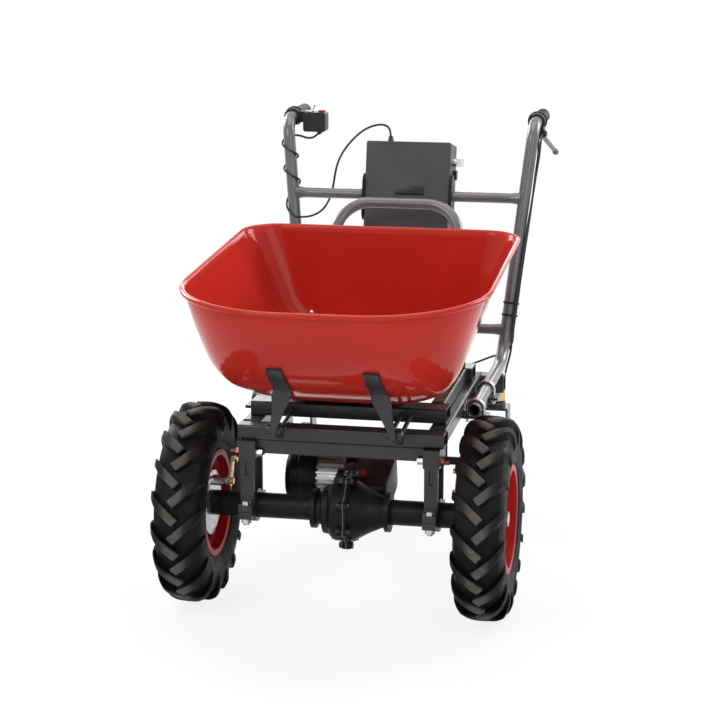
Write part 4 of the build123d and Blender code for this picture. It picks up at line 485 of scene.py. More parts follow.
class Finish(Nodes):
    """A node material in the making."""

    def __init__(self, name, colour, roughness, metallic=0.0, specular=0.5, coat=0.0):
        self.material = bpy.data.materials.new(name)
        self.material.use_nodes = True
        super().__init__(self.material.node_tree)
        self.where = self.add("ShaderNodeTexCoord").outputs["Object"]
        self.shader = self.tree.nodes["Principled BSDF"]
        values = {"Base Color": tuple(colour), "Roughness": roughness, "Metallic": metallic,
                  "Specular IOR Level": specular}
        if coat:
            values.update({"Coat Weight": coat, "Coat Roughness": COAT_ROUGHNESS})
        for socket, value in values.items():
            self.put(self.shader, socket, value)

    def mapped(self, scale=(1.0, 1.0, 1.0), location=(0.0, 0.0, 0.0)):
        """The place on the object, moved and stretched."""
        inputs = {"Vector": self.where, "Location": location, "Scale": scale}
        return self.add("ShaderNodeMapping", inputs).outputs["Vector"]

    def axes(self, where=None):
        """The three coordinates of a place."""
        return self.add("ShaderNodeSeparateXYZ", {"Vector": where or self.where}).outputs

    def round_axle(self, y, z):
        """How far a place is across the barrow, and its distance from an axle at y and z."""
        x, y, z = self.axes(self.mapped(location=(0.0, -y, -z)))
        return x, self.maths("SQRT", self.maths("ADD", self.times(y, y), self.times(z, z)))

    def noise(self, scale, detail, rough=0.55, where=None):
        """Cloudy noise from 0 to 1."""
        inputs = {"Vector": where or self.where, "Scale": scale, "Detail": detail, "Roughness": rough}
        return self.add("ShaderNodeTexNoise", inputs).outputs["Fac"]

    def cells(self, scale):
        """Distance to the nearest of scattered points."""
        inputs = {"Vector": self.where, "Scale": scale}
        return self.add("ShaderNodeTexVoronoi", inputs).outputs["Distance"]

    def mix(self, share, first, second):
        """A colour between two."""
        node = self.add("ShaderNodeMix", {0: share, 6: first, 7: second}, data_type="RGBA")
        return node.outputs[2]

    def clouds(self, colour, tones, scale, detail, low=0.3, high=0.75, rough=0.55):
        """A colour in clouds of a darker and a lighter tone."""
        dark, light = (tone(colour, factor) for factor in tones)
        return self.mix(self.spread(self.noise(scale, detail, rough), low, high), dark, light)

    def edges(self, radius):
        """1 along edges and 0 on flat faces, from how far a rounded normal leaves the true one.

        The rounded normal takes the true one's place on the shader.
        """
        soft = self.add("ShaderNodeBevel", {"Radius": radius}, samples=4).outputs["Normal"]
        self.put(self.shader, "Normal", soft)
        true = self.add("ShaderNodeNewGeometry").outputs["Normal"]
        dot = self.add("ShaderNodeVectorMath", {0: soft, 1: true}, operation="DOT_PRODUCT").outputs["Value"]
        return self.maths("SUBTRACT", 1.0, dot)

    def paint(self, colour):
        """Sets the base colour from a node."""
        self.put(self.shader, "Base Color", colour)

    def polish(self, roughness):
        """Sets the roughness from a node."""
        self.put(self.shader, "Roughness", roughness)

    def gloss(self, scale, detail, least, most, low=0.3, high=0.75):
        """Roughness that drifts between two values in clouds."""
        self.polish(self.spread(self.noise(scale, detail), low, high, least, most))

    def bump(self, height, distance):
        """Relief of the surface by a height, over a distance in metres."""
        node = self.add("ShaderNodeBump", {"Height": height, "Distance": distance})
        if self.shader.inputs["Normal"].is_linked:
            self.put(node, "Normal", self.shader.inputs["Normal"].links[0].from_socket)
        self.put(self.shader, "Normal", node.outputs["Normal"])

    def grain(self, scale, detail, distance, rough=0.55):
        """Cloudy relief of the surface."""
        self.bump(self.noise(scale, detail, rough), distance)


def gloss_enamel(name, colour, roughness, specular):
    """Sprayed enamel: deep gloss with faint orange peel, cloudy depth, fine dust and dulled patches."""
    finish = Finish(name, colour, roughness, specular=specular)
    base = finish.clouds(colour, (0.90, 1.07), 4.0, 3.0, 0.3, 0.7)
    specks = finish.spread(finish.cells(300.0), 0.030, 0.012)
    base = finish.mix(finish.times(specks, 0.25), base, tone(colour, 0.5))
    wear = finish.times(finish.spread(finish.edges(0.0025), 0.08, 0.4), finish.noise(60.0, 6.0))
    finish.paint(finish.mix(finish.spread(wear, 0.3, 0.7, 0.0, 0.25), base, tone(colour, 1.25)))
    scuff = finish.noise(14.0, 8.0, 0.7, finish.mapped((1.0, 0.35, 2.2)))
    finish.polish(finish.spread(scuff, 0.5, 0.85, roughness, roughness + 0.10))
    finish.grain(380.0, 2.0, 0.000035)
    return finish.material


def powder_coat(name, colour, roughness, coat, specular, grain=0.00006):
    """Sprayed powder paint: satin, finely pebbled, paler where edges are rubbed, uneven in gloss."""
    finish = Finish(name, colour, roughness, specular=specular, coat=coat)
    base = finish.clouds(colour, (0.86, 1.14), 9.0, 5.0, 0.3, 0.72)
    rubbed = finish.spread(finish.edges(0.0018), 0.03, 0.30)
    rubbed = finish.times(rubbed, finish.spread(finish.noise(45.0, 6.0, 0.65), 0.35, 0.7))
    finish.paint(finish.mix(finish.times(rubbed, 0.5), base, tone(colour, 2.2)))
    finish.gloss(14.0, 6.0, roughness - 0.05, roughness + 0.09)
    finish.grain(1100.0, 2.0, grain)
    return finish.material


def cast_black(name, colour, roughness):
    """Black paint on a casting: pebbled skin and a little bare metal at the edges."""
    finish = Finish(name, colour, roughness, specular=0.12)
    base = finish.clouds(colour, (0.7, 1.9), 22.0, 6.0, 0.35, 0.7)
    rubbed = finish.times(finish.spread(finish.edges(0.0022), 0.04, 0.3), finish.noise(70.0, 6.0))
    finish.paint(finish.mix(finish.spread(rubbed, 0.25, 0.6, 0.0, 0.6), base, (0.06, 0.06, 0.06)))
    finish.gloss(30.0, 5.0, roughness - 0.08, roughness + 0.18)
    finish.grain(320.0, 4.0, 0.00035, 0.6)
    return finish.material


def plated(name, colour, roughness, tint):
    """Zinc plate: bright metal, with streaks of another tint and dull clouds."""
    finish = Finish(name, colour, roughness, metallic=1.0)
    streak = finish.noise(90.0, 5.0, 0.6, finish.mapped((1.0, 1.0, 0.3)))
    finish.paint(finish.mix(finish.spread(streak, 0.35, 0.7), colour, tint))
    finish.gloss(160.0, 4.0, roughness - 0.06, roughness + 0.14)
    finish.grain(700.0, 3.0, 0.00004)
    return finish.material


def axle_bolts(name, colour, roughness):
    """Bolts of the axle: black by the differential, bright at the clamps, brown on the outer nuts."""
    finish = Finish(name, colour, roughness, metallic=1.0)
    side = finish.maths("ABSOLUTE", finish.axes()[0])
    streak = finish.spread(finish.noise(140.0, 5.0), 0.35, 0.7)
    zinc = finish.mix(streak, (0.62, 0.62, 0.60), (0.44, 0.44, 0.45))
    brown = finish.mix(streak, (0.17, 0.055, 0.040), (0.10, 0.030, 0.024))
    black = finish.mix(streak, (0.012, 0.012, 0.012), (0.035, 0.034, 0.033))
    outer = finish.mix(finish.spread(side, 0.2065, 0.2075), zinc, brown)
    finish.paint(finish.mix(finish.spread(side, 0.140, 0.145), black, outer))
    finish.gloss(170.0, 4.0, 0.24, 0.46)
    finish.grain(600.0, 3.0, 0.00005)
    return finish.material


def cast_alloy(name, colour, roughness):
    """Cast aluminium: grainy, with darker hollows."""
    finish = Finish(name, colour, roughness, metallic=1.0)
    grain = finish.noise(260.0, 6.0, 0.65)
    finish.paint(finish.mix(finish.spread(grain, 0.3, 0.75), tone(colour, 0.75), tone(colour, 1.12)))
    finish.gloss(90.0, 4.0, roughness - 0.05, roughness + 0.12, 0.3, 0.7)
    finish.bump(grain, 0.00012)
    return finish.material


def tyre_rubber(name, colour, roughness):
    """Tyre rubber: black and dull, with lighter brown-grey lug tops that are partly worn, gritty rubber and
    partly a painted highlight, and a stronger painted highlight at the lugs' inner ends.

    Everything follows the distance from the axle and from the tyre's middle, so that both tyres share it.
    """
    finish = Finish(name, colour, roughness, specular=0.12)
    x, radius = finish.round_axle(AXLE_Y, AXLE_Z)
    aside = finish.maths("ABSOLUTE", finish.maths("SUBTRACT", finish.maths("ABSOLUTE", x), WHEEL_X))
    base = finish.clouds(colour, (0.75, 1.6), 16.0, 7.0, rough=0.62)
    grit = finish.spread(finish.noise(75.0, 6.0, 0.7), 0.2, 0.8, 0.45, 1.0)
    # Lug tops painted lighter: worn, gritty rubber in part, and in part a painted highlight of the light on
    # the tops
    tops = finish.times(finish.spread(radius, 0.1995, 0.2050), grit)
    base = finish.mix(tops, base, (0.017, 0.0160, 0.0155))
    # Painted highlight: palest at the lugs' inner ends, near the tyre's middle
    inner = finish.times(tops, finish.spread(aside, 0.030, 0.010))
    finish.paint(finish.mix(inner, base, (0.105, 0.098, 0.090)))
    finish.gloss(40.0, 6.0, 0.44, 0.70, 0.25, 0.8)
    finish.grain(380.0, 5.0, 0.00022, 0.65)
    return finish.material


def caster_rubber(name, colour, roughness):
    """A caster wheel: grey pressed rim inside, black tread outside, by the distance from its own axle."""
    finish = Finish(name, colour, roughness, specular=0.35)
    place = JOINTS["left_caster_spin"]["pos_m"]
    radius = finish.round_axle(place[1], place[2])[1]
    cloud = finish.spread(finish.noise(50.0, 6.0), 0.3, 0.75)
    rubber = finish.mix(cloud, tone(colour, 0.8), tone(colour, 1.7))
    core = finish.mix(cloud, (0.16, 0.16, 0.165), (0.23, 0.23, 0.235))
    finish.paint(finish.mix(finish.spread(radius, 0.0645, 0.0665), core, rubber))
    finish.gloss(90.0, 5.0, 0.42, 0.68, 0.25, 0.8)
    finish.grain(500.0, 4.0, 0.00018)
    return finish.material


def moulded_rubber(name, colour, roughness):
    """Soft rubber with a fine grain and a slightly cloudy bloom."""
    finish = Finish(name, colour, roughness, specular=0.35)
    finish.paint(finish.clouds(colour, (0.8, 1.6), 40.0, 5.0))
    finish.gloss(120.0, 4.0, roughness - 0.08, roughness + 0.12)
    finish.grain(900.0, 3.0, 0.00010)
    return finish.material


def moulded_plastic(name, colour, roughness):
    """Moulded plastic: spark-eroded grain and slightly polished edges."""
    finish = Finish(name, colour, roughness, specular=0.28)
    base = finish.clouds(colour, (0.85, 1.35), 60.0, 5.0)
    rubbed = finish.spread(finish.edges(0.001), 0.05, 0.35, 0.0, 0.5)
    finish.paint(finish.mix(rubbed, base, tone(colour, 2.2)))
    finish.gloss(200.0, 4.0, roughness - 0.08, roughness + 0.1)
    finish.bump(finish.cells(1500.0), 0.00006)
    return finish.material


def make_finishes(paint):
    """Every finish of the barrow by its name, from its recipe, colour and roughness."""
    recipes = {
        "tray_enamel": (gloss_enamel, paint.tray, 0.09, 0.15),
        "rim_enamel": (gloss_enamel, paint.rim, 0.40, 0.25),
        "chassis_coat": (powder_coat, paint.chassis, 0.30, 0.22, 0.32),
        "handle_coat": (powder_coat, paint.handle, 0.28, 0.35, 0.5),
        "box_coat": (powder_coat, paint.box, 0.48, 0.0, 0.4, 0.00010),
        "drive_black": (cast_black, paint.drive, 0.38),
        "motor_alloy": (cast_alloy, (0.50, 0.50, 0.50), 0.34),
        "bright_zinc": (plated, (0.62, 0.62, 0.60), 0.28, (0.50, 0.52, 0.56)),
        "yellow_zinc": (plated, (0.62, 0.47, 0.20), 0.30, (0.55, 0.36, 0.30)),
        "bare_steel": (plated, (0.56, 0.56, 0.55), 0.24, (0.46, 0.45, 0.43)),
        "lever_alloy": (plated, (0.20, 0.20, 0.20), 0.36, (0.13, 0.13, 0.14)),
        "tyre_rubber": (tyre_rubber, paint.rubber, 0.58),
        "caster_rubber": (caster_rubber, (0.016, 0.016, 0.017), 0.55),
        "axle_bolts": (axle_bolts, (0.60, 0.60, 0.58), 0.3),
        "weld_coat": (cast_black, (0.030, 0.030, 0.033), 0.34),
        "gasket": (moulded_rubber, (0.12, 0.11, 0.095), 0.6),
        "plate_black": (moulded_plastic, (0.007, 0.007, 0.008), 0.34),
        "grip_rubber": (moulded_rubber, (0.010, 0.010, 0.011), 0.55),
        "cable_sheath": (moulded_rubber, (0.011, 0.011, 0.012), 0.42),
        "black_plastic": (moulded_plastic, (0.012, 0.012, 0.013), 0.40),
        "red_plastic": (moulded_plastic, (0.32, 0.010, 0.010), 0.25),
        "battery_case": (moulded_plastic, (0.045, 0.045, 0.050), 0.48),
        "controller_case": (cast_alloy, (0.36, 0.36, 0.37), 0.40),
    }
    return {name: recipe(name, *values) for name, (recipe, *values) in recipes.items()}


FINISH_OF_NODE = {
    "tray_enamel": ["tray"],
    "rim_enamel": ["left_rim", "right_rim"],
    "chassis_coat": ["front_beam", "lower_beam", "side_rails", "rear_beam", "axle_hangers", "axle_clamps",
                     "front_braces", "rear_straps", "tray_cross_tubes", "tray_side_tubes",
                     "left_caster_fork", "right_caster_fork"],
    "handle_coat": ["left_handle", "right_handle", "cross_bars", "loop_handle"],
    "box_coat": ["box_shell", "box_cover"],
    "drive_black": ["axle_tubes", "diff_right_half", "diff_left_half", "gear_case", "motor_end_bell",
                    "left_hub", "right_hub", "box_cradle"],
    "motor_alloy": ["motor_body"],
    "bright_zinc": ["brake_plates", "u_bolts", "tray_fasteners", "left_wheel_nuts", "right_wheel_nuts"],
    "axle_bolts": ["axle_fasteners"],
    "yellow_zinc": ["left_brake_arm", "right_brake_arm", "caster_heads"],
    "bare_steel": ["axle_bearings", "direction_switch", "key", "key_switch"],
    "lever_alloy": ["brake_lever"],
    "tyre_rubber": ["left_tyre", "right_tyre"],
    "caster_rubber": ["left_caster_wheel", "right_caster_wheel"],
    "grip_rubber": ["left_grip", "throttle_grip"],
    "cable_sheath": ["brake_cables", "control_cable", "cable_gland"],
    "black_plastic": ["switch_box", "brake_bracket", "charge_socket", "cable_ties"],
    "red_plastic": ["red_button"],
    "battery_case": ["battery_pack"],
    "controller_case": ["controller"],
}
finishes = {}


# Cable routes, in millimetres from the axle


def upright(z):
    """The centre of the left upright at heights z: a straight line from its foot to its head."""
    share = (np.asarray(z, float) - HANDLE_FOOT[2]) / (HANDLE_HEAD[2] - HANDLE_FOOT[2])
    return HANDLE_FOOT + share[..., None] * (HANDLE_HEAD - HANDLE_FOOT)


def beside_upright(offsets):
    """Cable points given by their distance from the left upright's centre and their height."""
    offsets = np.asarray(offsets, float)
    return upright(offsets[:, 2]) + offsets * np.array([1.0, 1.0, 0.0])


def rail_run(side):
    """The last stretch of a brake cable, along the rail and down to its stop behind the wheel."""
    return on_side([
        (236, 480, 342), (236.4, 400, 342.4), (235.6, 320, 342), (236, 245, 340), (235, 190, 328),
        (235, 150, 308), (236, 124, 295.84), (236, 101, 295.84),
    ], side)


def left_brake_route():
    """The left brake cable: from the lever down the upright, round the caster's head, along the rail."""
    start = [(307.32, 837.6, 884.76), (307.32, 819.6, 884.76), (306.82, 805.6, 869.76)]
    down = beside_upright([
        (21, 8, 842), (20, 5, 805), (19.5, 0, 765), (19, -4, 725), (17.5, -6.5, 685), (16, -8, 645),
        (15, -9.5, 605), (14.6, -10.4, 560), (14.5, -10.5, 515), (14.4, -10.8, 470), (14, -11.5, 440),
    ])
    under = [
        (258, 713, 396), (249, 704, 358), (243.5, 690, 327), (231, 677, 308), (208, 665, 303.5),
        (199, 640, 303), (202, 610, 309), (213, 575, 323), (227, 530, 337),
    ]
    return np.vstack([start, down, under, rail_run(1.0)])


def right_brake_route():
    """The right brake cable: beside the left one, then over the rear beam and along the right rail."""
    start = [(299.90, 837.6, 881.76), (299.90, 819.6, 881.76), (301.40, 807.6, 866.76)]
    down = beside_upright([
        (17.5, 14, 842), (17.5, 11, 805), (18.5, 6.5, 765), (19, 2.6, 725), (19, 0, 685), (18.4, -1.5, 645),
        (18, -3, 605), (17.7, -3.8, 560), (17.9, -4.4, 515), (17.5, -4.6, 470), (17, -4, 440),
    ])
    over = [
        (259, 728, 410), (248, 732, 389), (229, 730, 379), (211, 721, 375), (190, 708, 368),
        (168, 692, 361.5), (140, 672, 357.5), (102, 653, 356.3), (55, 642, 356), (0, 646, 356.2),
        (-58, 641, 356), (-115, 645, 356.2), (-168, 640, 358), (-204, 620, 358.5), (-214, 588, 352),
        (-226, 540, 344),
    ]
    return np.vstack([start, down, over, rail_run(-1.0)])


def lead_route():
    """The control lead: from the switch box, wound down the right upright, behind the bar, into the gland.

    The winding is a helix round the upright, in steps of a sixth of a turn, that drops 58 mm a turn at
    first and 115 mm a turn lower down.
    """
    start = [(-228.78, 843.6, 873.34), (-238.68, 843.6, 863.44), (-254.68, 840.6, 861.44), (-270, 826, 870)]
    angle = np.arange(90, 991, 60)
    z = 872 - (np.minimum(angle, 750) - 90) * 58 / 360 - np.maximum(angle - 750, 0) * 115 / 360
    turn = np.radians(angle)
    ring = np.stack([np.cos(turn), np.sin(turn), np.zeros_like(turn)], 1)
    winding = on_side(upright(z), -1.0) + WINDING_RADIUS * ring
    rise = [
        (-250, 744, 687), (-229, 752, 688), (-209, 770, 696), (-196, 788, 713), (-187, 792, 736),
        (-181, 792, 762), (-177, 791, 789), (-170, 792, 816), (-156, 796, 843), (-135, 803, 869),
        (-112, 812, 889), (-88, 823, 899), (-67, 832, 900), (-51, 837.35, 888.35), (-51, 830.70, 857.05),
    ]
    return np.vstack([start, winding, rise])


# Walls of the tray


def tray_size(name, height):
    """A size of the tray's plan at a height above its floor, on the way from base value to rim value."""
    share = np.clip(np.asarray(height, float) / TRAY_DEPTH, 0.0, 1.0)
    if name == "front":
        share = 1.0 - (1.0 - share) ** TRAY_FRONT_SWELL
    return TRAY_BASE[name] + (TRAY_RIM[name] - TRAY_BASE[name]) * share


def drawn_in(radius, height, inset):
    """How far a bottom edge rounded to a radius draws the wall in at a height above the floor."""
    below = np.maximum(radius - height, 0.0)
    return radius - np.sqrt(np.maximum((radius - inset) ** 2 - below ** 2, 0.0))


def tray_front(height, settings):
    """Where the middle of the tray's front wall stands at a height: along the barrow, and up."""
    y = tray_size("front", height) + drawn_in(MM * settings.bottom_round, height, 0.0)
    tilt = math.radians(settings.tilt) * height / TRAY_DEPTH
    return np.array([y * math.cos(tilt), TRAY_FLOOR_Z + height + y * math.sin(tilt)])


# Operators


class BARROW_OT_finishes(Operator):
    """Makes every finish and gives it to the solids that carry it"""

    bl_idname = "barrow.finishes"
    bl_label = "Finishes"

    def execute(self, context):
        finishes.update(make_finishes(context.scene.barrow_paint))
        for name, nodes in FINISH_OF_NODE.items():
            for node in nodes:
                mesh = frame["nodes"][node].data
                mesh.materials.clear()
                mesh.materials.append(finishes[name])
        return {"FINISHED"}


class BARROW_OT_control_lead(Operator):
    """Lays the lead from the switch box, round the right handle, into the battery box"""

    bl_idname = "barrow.control_lead"
    bl_label = "Control lead"

    def execute(self, context):
        diameter = context.scene.barrow_cables.lead
        route = lead_route()
        piece = cord_piece("control_lead", route, diameter)
        dress(piece, "cable_sheath", "chassis", "control_cable")
        return {"FINISHED"}


class BARROW_OT_brake_cables(Operator):
    """Lays both brake cables from the lever down the left handle to their stops"""

    bl_idname = "barrow.brake_cables"
    bl_label = "Brake cables"

    def execute(self, context):
        diameter = context.scene.barrow_cables.brake
        for name, route, length in (("left_brake_cable", left_brake_route(), 1.231),
                                    ("right_brake_cable", right_brake_route(), 1.542)):
            piece = cord_piece(name, route, diameter)
            dress(piece, "cable_sheath", "chassis", "brake_cables")
        return {"FINISHED"}


class BARROW_OT_brake_ends(Operator):
    """Adds the bare wire from each cable stop to its brake arm, and the adjusters on the stops"""

    bl_idname = "barrow.brake_ends"
    bl_label = "Brake ends"

    def execute(self, context):
        radius = MM * context.scene.barrow_cables.wire / 2.0
        adjusters = []
        for side, name in SIDES:
            stop, eye = on_side(CABLE_STOP, side), on_side(BRAKE_EYE, side)
            path = straight(stop + (0.0, 4.0, 0.0), eye, 3.0)
            wire = surface(name + "_brake_wire", [tube(path, radius, 10)])
            dress(wire, "bare_steel", None)
            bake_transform(wire)
            adjusters += self.adjuster(stop)
        dress(surface("cable_adjusters", adjusters), "yellow_zinc", "chassis")
        return {"FINISHED"}

    def adjuster(self, stop):
        """Two six-sided nuts on the stop plate, and a threaded barrel behind with a collar at its end.

        The thread is a zigzag of the barrel's radius, once every millimetre.
        """
        nut = [(0.0, 5.6), (0.7, 6.5), (3.8, 6.5), (4.5, 5.6)]
        back = stop + (0.0, 5.0, 0.0)
        along = np.linspace(4.0, 14.0, 41)
        thread = np.stack([along, 3.9 + 0.35 * np.abs(np.mod(along, 1.0) - 0.5) * 2.0], 1)
        collar = [(14.0, 4.6), (14.5, 5.0), (17.0, 5.0), (17.6, 4.4)]
        return [turned(back, (0, 1, 0), nut, 6), turned(stop, (0, -1, 0), nut, 6),
                turned(back, (0, 1, 0), np.vstack([thread, collar]), 24)]


class BARROW_OT_tray(Operator):
    """Presses the red tray with its rolled rim"""

    bl_idname = "barrow.tray"
    bl_label = "Tray"

    def execute(self, context):
        piece = surface("tray_bowl", [self.bowl(context.scene.barrow_tray)])
        dress(piece, "tray_enamel", "tray_frame", "tray")
        return {"FINISHED"}

    def bowl(self, settings):
        """The tray as one grid: up the outside, round the rolled rim, down the inside, a floor at each end.

        Each row is the plan at one height, set in by the wall inside and pushed out round the rim's circle.
        """
        wall, roll, bottom = MM * settings.wall, MM * settings.bead, MM * settings.bottom_round
        arch = 1.0 - np.cos(np.linspace(0.0, np.pi / 2.0, 18))
        outside = np.concatenate([bottom * arch, np.linspace(bottom, TRAY_DEPTH - 2.0 * roll, 16)[1:]])
        curl = np.radians(np.linspace(-115.0, 150.0, 24))
        inside = np.concatenate([np.linspace(TRAY_DEPTH - roll, bottom, 16),
                                 (wall + (bottom - wall) * arch)[-2::-1]])
        height = np.concatenate([outside, TRAY_DEPTH - roll + roll * np.sin(curl), inside])
        none_out, none_in = np.zeros_like(outside), np.zeros_like(inside)
        grow = np.concatenate([none_out, roll * (0.67 + np.cos(curl)), none_in])
        inset = np.concatenate([none_out, np.zeros_like(curl), none_in + wall])
        return self.plan(height, inset, grow, settings)

    def plan(self, height, inset, grow, settings):
        """Outlines at several heights: a rounded front, long sides and two rear corners, leaning out."""
        around = drawn_in(MM * settings.bottom_round, height, inset)
        behind = drawn_in(MM * settings.rear_round, height, inset)
        front = 1j * (tray_size("front", height) + around - grow)
        rear = 1j * (tray_size("rear", height) - behind + grow)
        front_half = tray_size("front_half", height) - around + grow
        rear_half = tray_size("rear_half", height) - around + grow
        front_round = np.maximum(tray_size("front_round", height) - around, FRONT_LEAST_ROUND) + grow
        rear_round = np.maximum(tray_size("rear_round", height) - behind, REAR_LEAST_ROUND) + grow
        corners = [rear - rear_half, rear + rear_half, front + front_half, front - front_half]
        rounds = [rear_round, rear_round, front_round, front_round]
        outline = np.concatenate([
            fillet(corners[k - 1], corners[k], corners[(k + 1) % 4], rounds[k], 36) for k in range(4)
        ], axis=1)
        tilt = (math.radians(settings.tilt) * height / TRAY_DEPTH)[:, None]
        up = TRAY_FLOOR_Z + height[:, None] + outline.imag * np.sin(tilt)
        return np.stack([outline.real, outline.imag * np.cos(tilt), up], -1)


class BARROW_OT_tray_fittings(Operator):
    """Adds the braces in front of the tray, the straps behind it, its pins and its bolts"""

    bl_idname = "barrow.tray_fittings"
    bl_label = "Tray fittings"

    def execute(self, context):
        braces = self.brace(context.scene.barrow_tray)
        for name, grids, finish, slot, node in (
            ("brace_plates", braces, "chassis_coat", "frame_paint", "front_braces"),
            ("strap_plates", self.strap_plate(), "chassis_coat", "frame_paint", "rear_straps"),
            ("pins_and_bolts", self.bolts(), "bright_zinc", "zinc", "tray_fasteners"),
        ):
            dress(surface(name, both_sides(grids)), finish, "tray_frame", node)
        return {"FINISHED"}

    def brace(self, settings):
        """The left brace: a bar that bends off the tray's wall and tapers to a point in front of the lug.

        Two narrow bars run back beside the lug, and two eyes hold the pin.
        """
        heights = np.linspace(BRACE_TAB_TOP, BRACE_TAB_FOOT, 9)
        wall = np.array([tray_front(height, settings) for height in heights])
        down = unit(np.gradient(wall, axis=0))
        wall += BRACE_OFF_WALL * np.stack([down[:, 1], -down[:, 0]], -1)
        tab = np.column_stack([np.full(len(wall), BRACE_X), wall])
        foot = PIVOT + (0.0, -15.5, -5.0)
        leg = np.vstack([tab, bend(tab[-1], tab[-1] + 12.0 * np.array([0.2, *down[-1]]), foot)[1:]])
        width = np.interp(np.linspace(0.0, 1.0, len(leg)), [0.0, 0.3, 0.62, 1.0], [31.0, 33.0, 38.0, 11.0])
        eye = [(-4.7, 9.6), (-3.9, 10.4), (3.9, 10.4), (4.7, 9.6)]
        grids = [strap(leg, width)]
        for shift in (-EYE_ASIDE, EYE_ASIDE):
            aside = np.array([shift, 0.0, 0.0])
            bar = straight(PIVOT + aside + (0.0, -6.0, -4.0), aside + BRACE_TAIL, 8.0)
            grids += [strap(bar, 8.6), turned(PIVOT + aside, (1, 0, 0), eye, 28)]
        return grids

    def strap_plate(self):
        """The left strap: a straight bar from the rear tube up behind the tray."""
        y = tray_size("rear", STRAP_TOUCH) + STRAP_OFF_WALL
        foot = (STRAP_X, y + 0.6, TRAY_FLOOR_Z - 0.5)
        head = (STRAP_X, y, TRAY_FLOOR_Z + 126.0)
        return [strap(straight(foot, head, 8.0), 30.0)]

    def bolts(self):
        """The left pin, and a bolt with a domed head inside the tray and a six-sided nut on the strap."""
        pin = [(-15.6, 4.6), (-15.1, 5.4), (15.1, 5.4), (15.6, 4.6)]
        dome = [(-3.0, 3.5), (0.0, 3.5), (0.0, 6.3), (1.2, 6.3), (2.6, 5.2), (3.4, 3.2), (3.7, 0.8)]
        nut = [(0.0, 5.4), (0.6, 6.2), (4.6, 6.2), (5.2, 5.4), (5.2, 3.4), (8.0, 3.2)]
        behind = (TRAY_BOLT[0], tray_size("rear", STRAP_TOUCH) + STRAP_BACK, TRAY_BOLT[2])
        return [turned(PIVOT, (1, 0, 0), pin, 28), turned(TRAY_BOLT, (0, -1, 0), dome, 28),
                turned(behind, (0, 1, 0), nut, 6)]


